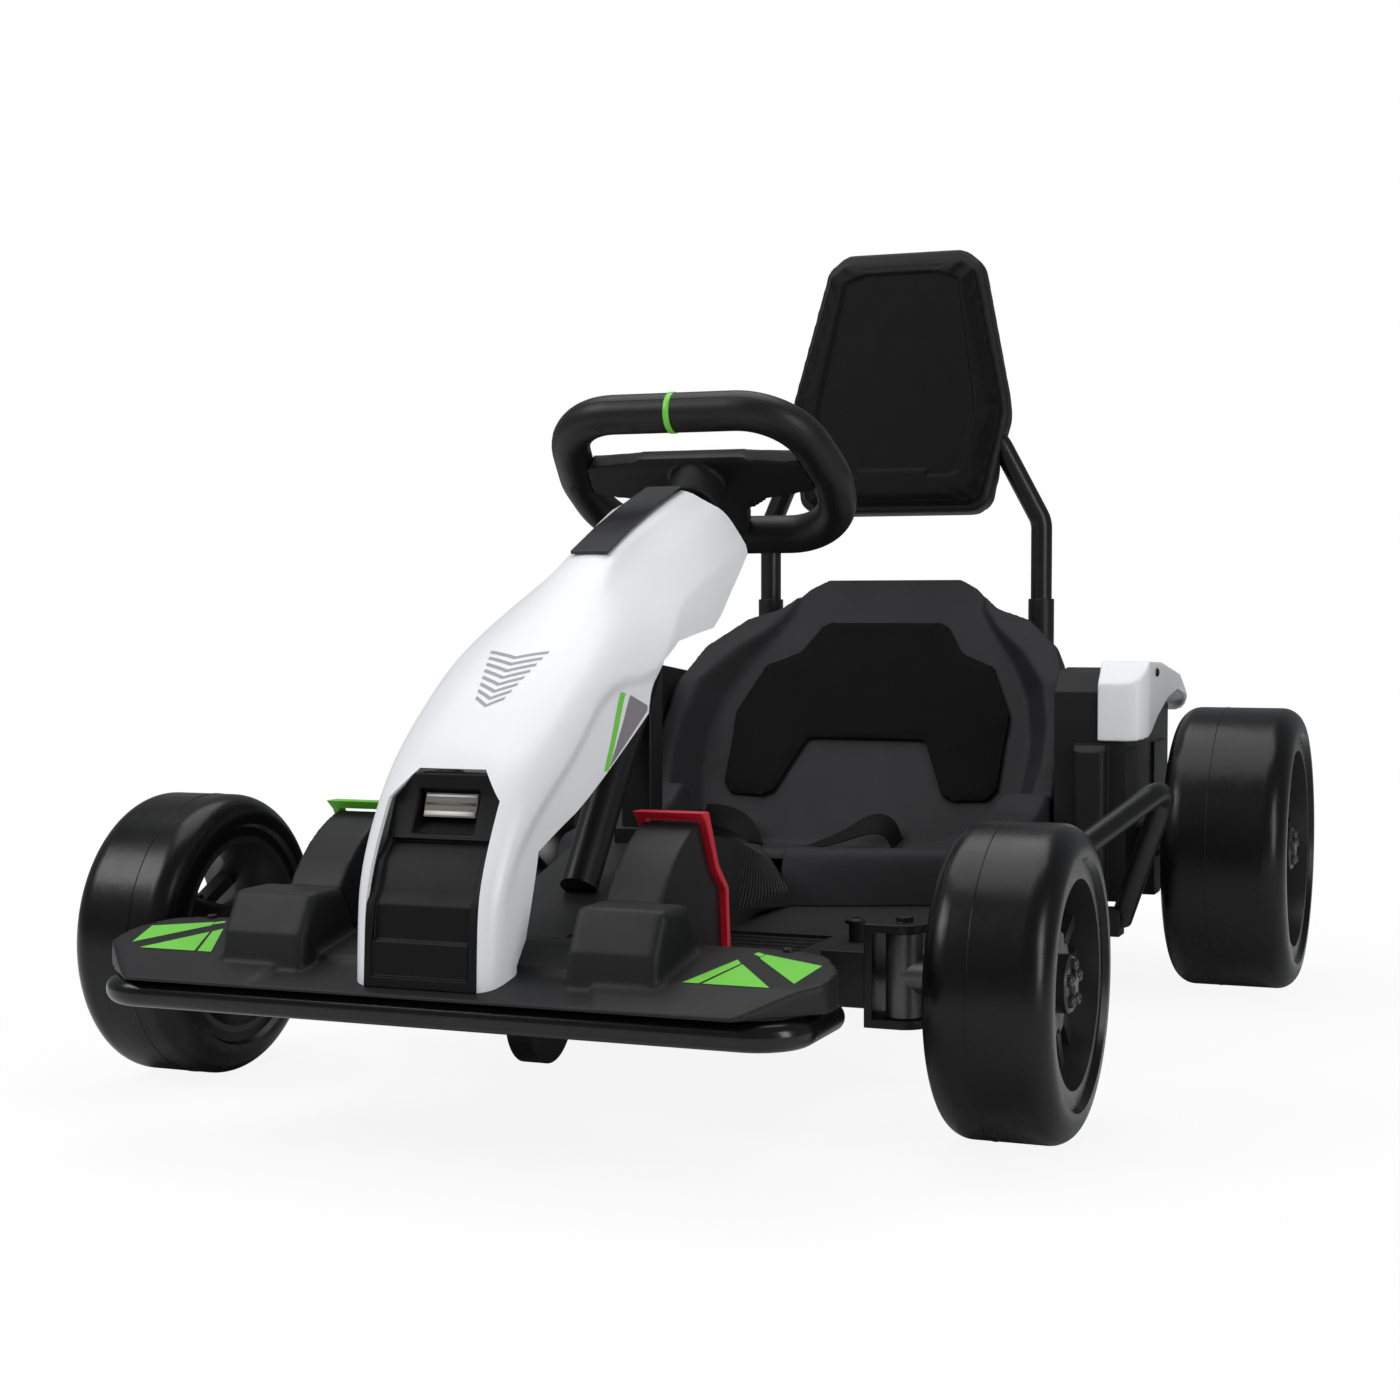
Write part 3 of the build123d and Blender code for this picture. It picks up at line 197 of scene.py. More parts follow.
moulded("grille_plastic", (0.004, 0.004, 0.0042), 0.5, Specular_IOR_Level=0.15)
# Near black: the dark line of the wrap's seam, and the painted shade inside screw holes.
moulded("dark_seam_and_painted_hole_shade", (0.002, 0.002, 0.002), 0.8)

# Wrap of the steering wheel: two crossing sets of ridges
TILT = math.radians(53)
WHEEL_UP = Vector((0, -math.sin(TILT), math.cos(TILT)))
WHEEL_OUT = Vector((0, math.cos(TILT), math.sin(TILT)))
TWILL_PITCH, TWILL_DEPTH = 0.0048, 0.00025
wrap = LOOKS["grip_plastic"]
across, round_it = Vector((1, 0, 0)), WHEEL_UP + WHEEL_OUT
twill = wrap.maths("MULTIPLY", wrap.waves(across + round_it, TWILL_PITCH),
                   wrap.waves(across - round_it, TWILL_PITCH))
wrap.bump(wrap.maths("GREATER_THAN", twill, 0.0), TWILL_DEPTH, 0.8)

# Webbing: fine cross ribs
webbing = LOOKS["webbing"]
webbing.bump(webbing.waves((1, 0.3, 0), 0.0022), 0.0001)

# Floor moulding: ribs on the sloping faces on both sides of the foot tunnel
RIB_PITCH, RIB_DEPTH = 0.0085, 0.0016
ribbed = moulded("ribbed_plastic", (0.020, 0.020, 0.021), 0.5, Specular_IOR_Level=0.25)
ridges = ribbed.waves((0.2, 1.0, -0.75), RIB_PITCH)
for x0, x1 in ((10, 60), (-60, -10)):
    area = ribbed.inside(at(x0, 200, 118), at(x1, 334, 178))
    ribbed.bump(ribbed.maths("MULTIPLY", ridges, area), RIB_DEPTH)

# Every part gets the look of its material slot, two parts a look of their own
OTHER_LOOKS = {"floor_pan": "ribbed_plastic", "nose_grille": "grille_plastic"}
for part in frame["record"]["subparts"]:
    node = NODES[part["node"]]
    node.data.materials.clear()
    look = OTHER_LOOKS.get(part["node"], part["material_slot"])
    node.data.materials.append(LOOKS[look].mat)


# Rounded edges and even shading on the plain moulded parts

MERGE_REACH, HARD_ANGLE, BEVEL_ANGLE, FLAT_ANGLE = 0.00001, 38, 28, 0.4


def node_tree(name, steps):
    """Geometry node group that runs a row of nodes one after another."""
    group = bpy.data.node_groups.new(name, "GeometryNodeTree")
    for way in ("INPUT", "OUTPUT"):
        group.interface.new_socket("Geometry", in_out=way, socket_type="NodeSocketGeometry")
    last = group.nodes.new("NodeGroupInput").outputs[0]
    for step in steps:
        node = step(group)
        group.links.new(last, node.inputs[0])
        last = node.outputs[0]
    group.links.new(last, group.nodes.new("NodeGroupOutput").inputs[0])
    return group


def drop_normals(group):
    """Drops the normals that the CAD mesh came with."""
    node = group.nodes.new("GeometryNodeRemoveAttribute")
    node.inputs["Name"].default_value = "custom_normal"
    return node


def weld(group):
    node = group.nodes.new("GeometryNodeMergeByDistance")
    node.inputs["Distance"].default_value = MERGE_REACH
    return node


def shade_smooth(group):
    return group.nodes.new("GeometryNodeSetShadeSmooth")


def sharpen(group):
    """Keeps the edges sharp whose faces meet at more than the hard angle."""
    node = group.nodes.new("GeometryNodeSetShadeSmooth")
    node.domain = "EDGE"
    node.inputs["Shade Smooth"].default_value = False
    angle = group.nodes.new("GeometryNodeInputMeshEdgeAngle")
    more = group.nodes.new("FunctionNodeCompare")
    more.operation = "GREATER_THAN"
    more.inputs[1].default_value = math.radians(HARD_ANGLE)
    group.links.new(angle.outputs["Unsigned Angle"], more.inputs[0])
    group.links.new(more.outputs[0], node.inputs["Selection"])
    return node


CLEAN = node_tree("clean", (drop_normals, weld, shade_smooth))
SHARP = node_tree("sharp", (sharpen,))


def keep_sharp(piece):
    """Keeps a smoothly shaded piece's hard edges."""
    piece.modifiers.new("sharp", "NODES").node_group = SHARP


def soften(piece, width, flatten):
    """Evens a piece's shading and rounds its corners by a width in millimetres, if it isn't 0."""
    piece.modifiers.new("clean", "NODES").node_group = CLEAN
    if flatten:
        flat = piece.modifiers.new("flat", "DECIMATE")
        flat.decimate_type, flat.angle_limit = "DISSOLVE", math.radians(FLAT_ANGLE)
    if width:
        edge = piece.modifiers.new("edge", "BEVEL")
        edge.limit_method, edge.angle_limit = "ANGLE", math.radians(BEVEL_ANGLE)
        edge.width, edge.segments, edge.use_clamp_overlap = width * MM, 3, False
        edge.miter_outer = "MITER_ARC"
    keep_sharp(piece)
    even = piece.modifiers.new("even", "WEIGHTED_NORMAL")
    even.keep_sharp = True


def flow(piece, voxel, turns):
    """Remeshes a piece by voxels of a size in millimetres and smooths it in turns."""
    remesh = piece.modifiers.new("remesh", "REMESH")
    remesh.mode, remesh.voxel_size, remesh.use_smooth_shade = "VOXEL", voxel * MM, True
    even = piece.modifiers.new("even", "SMOOTH")
    even.factor, even.iterations = 0.5, turns


def melt(piece, voxel, turns, share):
    """Gives a moulded part rounded edges and flowing faces, and keeps a share of the remesh's faces."""
    piece.modifiers.new("clean", "NODES").node_group = CLEAN
    flow(piece, voxel, turns)
    if share < 1:
        fewer = piece.modifiers.new("fewer", "DECIMATE")
        fewer.ratio = share


# bevel widths in millimetres; the floor moulding's small faces take none
SOFT_EDGES = {
    "nose_grille": 1.2, "floor_pan": 0, "brake_band": 1.0, "accelerator_band": 1.0, "rear_housing": 1.5,
    "battery_box": 2.0, "drive_unit_left": 1.5, "drive_unit_right": 1.5, "guide_fork": 0.8,
    "column_tube": 0.8, "dash_strip": 0.3, "front_beam": 0.8, "frame_main": 0.8, "headlamp_lens": 0.4,
}
FLATTENED = ("nose_grille", "battery_box", "brake_band", "accelerator_band")
for name, width in SOFT_EDGES.items():
    soften(NODES[name], width, name in FLATTENED)
# voxel in millimetres, turns of smoothing, share of the faces kept
MELTED = {
    "seat_shell": (2.3, 14, 0.3), "backrest_shell": (3.0, 30, 1.0), "front_wing": (2.0, 4, 0.6),
    "pedal_brake": (1.8, 4, 1.0), "pedal_accelerator": (1.8, 4, 1.0), "rear_fender_left": (1.5, 6, 0.5),
    "rear_fender_right": (1.5, 6, 0.5), "steering_hub": (1.8, 3, 0.6),
}
for name, (voxel, turns, share) in MELTED.items():
    melt(NODES[name], voxel, turns, share)


# Pieces

def piece_of(name, mesh, look, body="chassis"):
    """Links a mesh as a named piece with a look, on a body and a slot of the record."""
    piece = bpy.data.objects.new(name, mesh)
    bpy.context.scene.collection.objects.link(piece)
    mesh.materials.clear()
    mesh.materials.append(LOOKS[look].mat)
    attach(piece, body)
    return piece


def mesh_of(name, build):
    """Mesh from a function that fills a bmesh."""
    form = bmesh.new()
    build(form)
    mesh = bpy.data.meshes.new(name)
    form.to_mesh(mesh)
    form.free()
    for face in mesh.polygons:
        face.use_smooth = True
    return mesh


def settled(piece):
    """Applies a piece's modifiers to its mesh."""
    graph = bpy.context.evaluated_depsgraph_get()
    mesh = bpy.data.meshes.new_from_object(piece.evaluated_get(graph))
    piece.modifiers.clear()
    piece.data = mesh
    return mesh


def tree_of(mesh):
    """A mesh's faces, for rays cast onto them."""
    return BVHTree.FromPolygons([v.co for v in mesh.vertices], [p.vertices[:] for p in mesh.polygons])


def surface(node):
    """The faces of a CAD node, for rays."""
    return tree_of(NODES[node].data)


def skin(form, loops, ring=False):
    """Closed skin over a row of loops of points: its ends are capped, or joined to each other."""
    loops = [[form.verts.new(point) for point in loop] for loop in loops]
    count = len(loops[0])
    for here, after in zip(loops, loops[1:] + loops[:1] if ring else loops[1:]):
        for k in range(count):
            n = (k + 1) % count
            form.faces.new((here[k], here[n], after[n], after[k]))
    if not ring:
        form.faces.new(loops[0][::-1])
        form.faces.new(loops[-1])
    bmesh.ops.recalc_face_normals(form, faces=form.faces)


def sheet(form, grid, flip):
    """Open sheet over a grid of points; flip turns its front face over."""
    grid = [[form.verts.new(point) for point in row] for row in grid]
    for low, high in zip(grid, grid[1:]):
        for i in range(len(low) - 1):
            quad = (low[i], high[i], high[i + 1], low[i + 1])
            form.faces.new(quad[::-1] if flip else quad)


def thicken(piece, wall):
    """Gives a sheet a wall in millimetres, behind its front face."""
    solid = piece.modifiers.new("wall", "SOLIDIFY")
    solid.thickness, solid.offset = wall * MM, -1
    settled(piece)


def side_prism(points, half):
    """Closed prism across the kart from (s, z) points in millimetres."""
    return lambda form: skin(form, [[at(x, s, z) for s, z in points] for x in (-half, half)])


def front_prism(points, s0, s1):
    """Closed prism along the kart from (x, z) points in millimetres."""
    return lambda form: skin(form, [[at(x, s, z) for x, z in points] for s in (s0, s1)])


def cut(piece, build, operation):
    """Cuts a piece by a helper solid that isn't kept."""
    helper = bpy.data.objects.new("cutter", mesh_of("cutter", build))
    bpy.context.scene.collection.objects.link(helper)
    step = piece.modifiers.new("cut", "BOOLEAN")
    step.object, step.operation, step.solver = helper, operation, "EXACT"
    settled(piece)
    bpy.data.objects.remove(helper)


def mirrored(half):
    """An outline from its half on the positive side of x."""
    return list(half) + [(-x, y) for x, y in reversed(half)]


def corner_cut(rows, turns):
    """Smooths a row of points by cutting its corners, the ends kept."""
    for _ in range(turns):
        fine = [rows[0]]
        for a, b in zip(rows, rows[1:]):
            fine += [a.lerp(b, 0.25), a.lerp(b, 0.75)]
        rows = fine + [rows[-1]]
    return rows


# Nose: the hood and flanks as one smooth moulding, from the sections of the solid

# Sections: s and z of the crown, slope of the section's plane against the level in degrees, and half
# of its line as (across, down from the crown)
NOSE_STATIONS = (
    (-241, 112, 90, ((34, 0), (44, 3), (49, 8), (51, 14), (52, 20), (55, 60), (57, 120))),
    (-239.5, 160, 88, ((34, 0), (44, 3), (49, 8), (51, 14), (52, 20), (56, 60), (58, 120))),
    (-236, 185, 78, ((33, 0), (44, 3), (49, 8), (52, 12), (52, 22), (57, 60), (60, 120))),
    (-223, 215, 65, ((32, 0), (45, 4), (51, 9), (54, 14), (53, 25), (58, 60), (62, 120))),
    (-200, 254, 50, ((30, 0), (46, 5), (54, 14), (59, 25), (54, 37), (60, 65), (66, 120))),
    (-160, 287, 38, ((27, 0), (49, 6), (58, 14), (65, 25), (59, 38), (66, 65), (72, 115))),
    (-100, 330, 34, ((24, 0), (47, 6), (57, 13), (64, 20), (60, 32), (69, 60), (75, 110))),
    (-60, 355, 32, ((20, 0), (43, 8), (61, 21), (77, 47), (71, 57), (73, 75), (76, 108))),
    (-20, 379, 30, ((18, 0), (33, 9), (52, 22), (75, 41), (76.5, 60), (77.3, 75), (77, 105))),
    (17, 400, 27, ((16, 0), (24, 9), (42, 22), (66, 40), (72, 56), (74, 75), (76, 105))),
    (60, 419, 22, ((16, 0), (25, 9), (43, 23), (66, 42), (71, 56), (74, 75), (75, 105))),
    (110, 438, 19, ((17, 0), (30, 9), (48, 20), (68, 42), (71, 56), (73, 75), (74, 100))),
    (160, 454.5, 19, ((17, 0), (35, 9.5), (52, 17), (69, 42), (71, 56), (72, 70), (73, 95))),
)
# Outline of the whole skin from the side as (s, z), outline of the grille's opening as (x, z)
NOSE_EDGE = ((-270, 113), (-241, 120.5), (-209, 128.8), (-209, 134.5), (-198, 150), (-190, 178),
             (-182, 204), (-140, 225), (-39, 287), (-34, 300), (-22, 323), (8, 337), (78, 346),
             (94, 355), (160, 403), (160, 520), (-100, 480), (-300, 300))
GRILLE_EDGE = mirrored(((40, 90), (40, 238), (24, 257)))
# half width and run that the cuts reach over, past the nose on both sides
NOSE_REACH, GRILLE_RUN = 130, (-280, -180)
NOSE_WALL = 3.5
# places in a whole section's line whose corners stay crisp: the ridge and the step on each side
CRISP, CRISP_REACH = (2, 3, 10, 11), 2.5


def crisp(line, kept):
    """Doubles the kept corners of a line, so that smoothing rounds them only a little."""
    fine = []
    for i, point in enumerate(line):
        if i in kept:
            for other in (line[i - 1], line[i + 1]):
                step = other - point
                fine.append(point + step * min(CRISP_REACH * MM / step.length, 0.3))
        else:
            fine.append(point)
    return fine


def nose_grid():
    """Rows of points on the outside of the nose, one row for each section."""
    rows = []
    for s, z, slope, half in NOSE_STATIONS:
        c, n = math.cos(math.radians(slope)), math.sin(math.radians(slope))
        # the section stands square to the hood's crown line and hangs down from it
        line = list(reversed(half)) + [(-x, p) for x, p in half]
        line = [at(x, s + p * n, z - p * c) for x, p in line]
        rows.append(corner_cut(crisp(line, CRISP), 2))
    columns = [corner_cut(list(column), 3) for column in zip(*rows)]
    return list(zip(*columns))


nose_mesh = mesh_of("nose_skin", lambda form: sheet(form, nose_grid(), False))
nose = piece_of("nose_skin", nose_mesh, "white_plastic")
thicken(nose, NOSE_WALL)
cut(nose, side_prism(NOSE_EDGE, NOSE_REACH), "INTERSECT")
cut(nose, front_prism(GRILLE_EDGE, *GRILLE_RUN), "DIFFERENCE")
keep_sharp(nose)
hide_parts("nose_shell")
NOSE = tree_of(nose.data)


# Decals: thin sheets laid on the surfaces, all plain shapes

# Lift in millimetres, rounds of splitting, and the rays' start and reach in metres
DECAL_LIFT, SPLITS, DROP_START, DROP_REACH = 0.25, 5, 0.2, 0.6
# heights and half width in millimetres at which the outlines lie before they are dropped
WING_ABOVE, HOOD_ABOVE, FLANK_BESIDE = 150, 420, 90


def decal(name, tree, outline, away, look, step=0.005):
    """Thin sheet over an outline of points in metres, dropped onto a surface against away.

    Edges longer than the step, in metres, are split first, so that the sheet follows the surface.
    """
    def build(form):
        form.faces.new([form.verts.new(p) for p in outline])
        bmesh.ops.triangulate(form, faces=form.faces)
        for _ in range(SPLITS):
            long = [e for e in form.edges if e.calc_length() > step]
            if long:
                bmesh.ops.subdivide_edges(form, edges=long, cuts=1, use_grid_fill=False)
                bmesh.ops.triangulate(form, faces=form.faces)
        missed = []
        for vert in form.verts:
            hit = tree.ray_cast(vert.co + away * DROP_START, -away, DROP_REACH)
            if hit[0] is None:
                missed.append(vert)
            else:
                vert.co = hit[0] + away * DECAL_LIFT * MM
        bmesh.ops.delete(form, geom=missed, context="VERTS")
        bmesh.ops.recalc_face_normals(form, faces=form.faces)
    return piece_of(name, mesh_of(name, build), look)


WING = surface("front_wing")
# (x, s) outlines in millimetres
WING_GREEN = (
    ((169.4, -217), (180, -217), (193.5, -180), (189, -173.5)),
    ((182.5, -217), (226, -217), (195, -181)),
    ((203.8, -162), (245.5, -175.8), (238.5, -208), (202, -169)),
    ((195.5, -162.5), (197, -158), (203, -162), (202, -167)),
)
# (s, z) outlines in millimetres
FLANK_STRIPE = ((-70, 303), (-64.5, 302), (-101, 247), (-104, 250.5))
FLANK_PANEL = ((-59, 300.5), (-37, 291.5), (-97, 252.5))
for side, hand in SIDES:
    for i, shape in enumerate(WING_GREEN):
        outline = [at(side * x, s, WING_ABOVE) for x, s in shape]
        decal(f"wing_decal_{hand}_{i}", WING, outline, UP, "decal_green")
    out = Vector((side, 0, 0))
    stripe, panel = ([at(side * FLANK_BESIDE, s, z) for s, z in shape]
                     for shape in (FLANK_STRIPE, FLANK_PANEL))
    decal(f"flank_stripe_{hand}", NOSE, stripe, out, "decal_green")
    decal(f"flank_panel_{hand}", NOSE, panel, out, "panel_grey")

# Grey chevron bars on the hood, a generic pattern that narrows down the hood
BARS, BAR_START, BAR_PITCH, BAR_HALF, BAR_TAPER, BAR_DROP, BAR_THICK = 8, -96, 6.2, 22, 1.6, 7, 2.6
for i in range(BARS):
    s, wide = BAR_START - BAR_PITCH * i, BAR_HALF - BAR_TAPER * i
    low = s - BAR_THICK
    for tag, half in (("l", wide), ("r", -wide)):
        outline = ((half, s), (half, low), (0, low - BAR_DROP), (0, s - BAR_DROP))
        if half < 0:
            outline = (outline[0], outline[3], outline[2], outline[1])
        outline = [at(x, y, HOOD_ABOVE) for x, y in outline]
        decal(f"hood_bar_{i}_{tag}", NOSE, outline, UP, "decal_grey", step=0.008)


# Round trim

LOBE_BLUNTNESS = 0.6
# Bolt head: shares of its height and radius. Its hexagon socket: both ends and its corners' radius
BOLT_HEAD = ((0, 1), (0.55, 1), (0.85, 0.86), (1, 0.62), (1, 0.5))
SOCKET_DEPTHS, SOCKET_REACH = (0.4, 1.2), 0.42


def ring_build(centre, axis, radius, thick, wide, around):
    """Flat-sided ring with bevelled outer corners about an axis through a centre, sizes in metres."""
    axis = axis.normalized()
    one = axis.orthogonal().normalized()
    two = axis.cross(one)
    bevel = min(thick, wide) * 0.3
    section = ((-wide / 2, -thick / 2), (-wide / 2, thick / 2 - bevel), (-wide / 2 + bevel, thick / 2),
               (wide / 2 - bevel, thick / 2), (wide / 2, thick / 2 - bevel), (wide / 2, -thick / 2))
    loops = []
    for k in range(around):
        turn = 2 * math.pi * k / around
        out = one * math.cos(turn) + two * math.sin(turn)
        loops.append([centre + axis * u + out * (radius + v) for u, v in section])
    return lambda form: skin(form, loops, ring=True)


def lathe_build(centre, axis, profile, around, lobes=0, depth=0.0):
    """Turned form about an axis: profile of (along, radius) in metres, with lobes cut into its rim."""
    axis = axis.normalized()
    one = UP if abs(axis.z) < 0.9 else Vector((1, 0, 0))
    one = (one - axis * one.dot(axis)).normalized()
    two = axis.cross(one)
    loops = []
    for u, r in profile:
        loops.append([])
        for k in range(around):
            turn = 2 * math.pi * k / around
            reach = r
            if lobes:
                dip = max(0.0, math.cos(lobes * turn)) ** LOBE_BLUNTNESS
                reach = r - depth * dip * (r / profile[1][1])
            out = one * math.cos(turn) + two * math.sin(turn)
            loops[-1].append(centre + axis * u + out * reach)
    return lambda form: skin(form, loops)


def in_metres(pairs, start=0):
    """Profile pairs of millimetres as metres, the first of each measured from a start."""
    return [((start + u) * MM, r * MM) for u, r in pairs]


def bolt(name, place, axis, radius, tall, look="frame_steel", body="chassis"):
    """Button-head bolt with a hexagon socket, sizes in millimetres."""
    r, h = radius * MM, tall * MM
    head = lathe_build(place, axis, [(h * up, r * out) for up, out in BOLT_HEAD], 24)
    piece = piece_of(name, mesh_of(name, head), look, body)
    axis = axis.normalized()
    one = axis.orthogonal().normalized()
    two = axis.cross(one)
    corners = [one * math.cos(k * math.pi / 3) + two * math.sin(k * math.pi / 3) for k in range(6)]
    socket = [[place + axis * u * h + corner * r * SOCKET_REACH for corner in corners]
              for u in SOCKET_DEPTHS]
    cut(piece, lambda form: skin(form, socket), "DIFFERENCE")
    keep_sharp(piece)


# Steering wheel: green mark, seam of the wrap, and dark discs of painted shade where its screw holes are,
# sizes in millimetres on its own plane
WHEEL_AT = at(0, 234, 473)
RIM_CORNERS, RIM_BEND, CORNER_STEPS = ((98, 72), (112, -8), (104, -83)), 55, 12
SEAM_OUT, SEAM_DEEP, SEAM_HALF, SEAM_SIDES = 15.8, 0.4, 0.5, 6
HOLE_SHADES = ((-60, 72), (-30, 72), (60, 72), (-110, 0), (110, 0), (-70, -83), (70, -83))
HOLE_SHADE_PROFILE, HOLE_SHADE_OUT = ((-1, 3), (0.6, 3), (0.6, 2.3), (0, 2)), -15.6
MARK_RADIUS, MARK_THICK, MARK_WIDE = 15.9, 1.4, 5


def on_wheel(u, v, w):
    """Point from the wheel's centre: across, up its face and out of it, in millimetres."""
    return WHEEL_AT + (Vector((u, 0, 0)) + WHEEL_UP * v + WHEEL_OUT * w) * MM


def rim_line():
    """Centre line of the steering rim: round corners between straight runs."""
    corners = [Vector(place) for place in mirrored(RIM_CORNERS)]
    line = []
    for i, corner in enumerate(corners):
        back = (corners[i - 1] - corner).normalized()
        ahead = (corners[(i + 1) % len(corners)] - corner).normalized()
        half = back.angle(ahead) / 2
        reach = RIM_BEND / math.tan(half)
        middle = corner + (back + ahead).normalized() * RIM_BEND / math.sin(half)
        start, end = corner + back * reach - middle, corner + ahead * reach - middle
        turn = start.angle_signed(end)
        for k in range(CORNER_STEPS + 1):
            a = -turn * k / CORNER_STEPS
            line.append(middle + Vector((start.x * math.cos(a) - start.y * math.sin(a),
                                         start.x * math.sin(a) + start.y * math.cos(a))))
    return line


def seam_build(form):
    """Thin bead round the outside of the steering rim."""
    line = rim_line()
    count = len(line)
    middle = sum(line, Vector((0, 0))) / count
    loops = []
    for i, p in enumerate(line):
        ahead = (line[(i + 1) % count] - line[i - 1]).normalized()
        out = Vector((ahead.y, -ahead.x))
        if out.dot(p - middle) < 0:
            out = -out
        loops.append([])
        for k in range(SEAM_SIDES):
            turn = 2 * math.pi * k / SEAM_SIDES
            far = SEAM_OUT + SEAM_DEEP * math.cos(turn)
            loops[-1].append(on_wheel(p.x + out.x * far, p.y + out.y * far, SEAM_HALF * math.sin(turn)))
    skin(form, loops, ring=True)


piece_of("rim_seam", mesh_of("rim_seam", seam_build), "dark_seam_and_painted_hole_shade", "steering")
mark = ring_build(on_wheel(0, RIM_CORNERS[0][1], 0), Vector((1, 0, 0)),
                  MARK_RADIUS * MM, MARK_THICK * MM, MARK_WIDE * MM, 64)
piece_of("rim_mark", mesh_of("rim_mark", mark), "green_plastic", "steering")
# Dark discs on the rim stand for the shade inside its screw holes: painted shade.
for i, (u, v) in enumerate(HOLE_SHADES):
    hole_shade = lathe_build(on_wheel(u, v, HOLE_SHADE_OUT), -WHEEL_OUT, in_metres(HOLE_SHADE_PROFILE), 20)
    piece_of(f"rim_hole_shade_{i}", mesh_of(f"rim_hole_shade_{i}", hole_shade), "dark_seam_and_painted_hole_shade", "steering")

# Wheels: mould seam, scalloped hub flange, five nuts and a small star cap, in millimetres.
# Profiles are (out from the hub's face, radius); the star's rows are (out, share of its radii).
TYRE_WIDTHS = {"front": 86, "rear": 113}
FACE_INSET, SEAM_SHARE, SEAM_THICK, SEAM_WIDE = 20, -0.12, 0.7, 0.9
FLANGE = ((-8, 30), (-7, 36), (1.5, 36), (3, 34.5), (3, 24), (2, 20))
FLANGE_LOBES, LOBE_DEPTH = 10, 4.5
DISC = ((2, 20), (11, 20), (12.5, 18.5), (12.5, 9), (11, 8))
NUTS, NUT_OUT, NUT_CIRCLE, NUT_SIZE = 5, 12, 13.4, 4.2
STAR, STAR_RADII = ((10, 1), (14.5, 1), (15.5, 0.86)), (9.6, 5.4)


def hub_piece(name, build, body):
    """Piece of a wheel's hub, in the look of its rim."""
    piece = piece_of(name, mesh_of(name, build), "rim_plastic", body)
    keep_sharp(piece)


def upward(degrees):
    """Direction square to a wheel's axle, turned upward from the kart's rear by an angle."""
    turn = math.radians(degrees)
    return Vector((0, math.cos(turn), math.sin(turn)))


for end, width in TYRE_WIDTHS.items():
    for side, hand in SIDES:
        tag = f"{end}_{hand}"
        low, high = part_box(f"tyre_{tag}")
        centre = (low + high) / 2
        body, out = f"wheel_{tag}", Vector((side, 0, 0))
        face = width / 2 - FACE_INSET
        spot = centre + out * SEAM_SHARE * width * MM
        crown = surface(f"tyre_{tag}").ray_cast(spot + Vector((0, 0, 0.3)), -UP)[0].z - centre.z
        seam = ring_build(spot, out, crown, SEAM_THICK * MM, SEAM_WIDE * MM, 144)
        piece_of(f"tyre_seam_{tag}", mesh_of(f"tyre_seam_{tag}", seam), "tyre_black", body)
        flange = lathe_build(centre, out, in_metres(FLANGE, face), 120, FLANGE_LOBES, LOBE_DEPTH * MM)
        hub_piece(f"hub_flange_{tag}", flange, body)
        hub_piece(f"hub_disc_{tag}", lathe_build(centre, out, in_metres(DISC, face), 64), body)
        for k in range(NUTS):
            place = centre + out * (face + NUT_OUT) * MM + upward(90 + 360 / NUTS * k) * NUT_CIRCLE * MM
            bolt(f"hub_nut_{tag}_{k}", place, out, NUT_SIZE, NUT_SIZE, "rim_plastic", body)
        star = [[centre + out * (face + u) * MM + upward(90 + 36 * k) * STAR_RADII[k % 2] * scale * MM
                 for k in range(10)] for u, scale in STAR]
        hub_piece(f"hub_star_{tag}", lambda form: skin(form, star), body)


# Pads: each swells a little from a slightly smaller shape, held where it rests

CLOTH_STEPS, CLOTH_QUALITY, CLOTH_MASS, CLOTH_PRESSURE = 20, 4, 0.3, 4
# A face whose normal reaches so far along a direction is held in place, pinned in the cloth or sunk
STILL_FACING, HELD_FACING, PANEL_FACING = 0.7, 0.6, 0.5


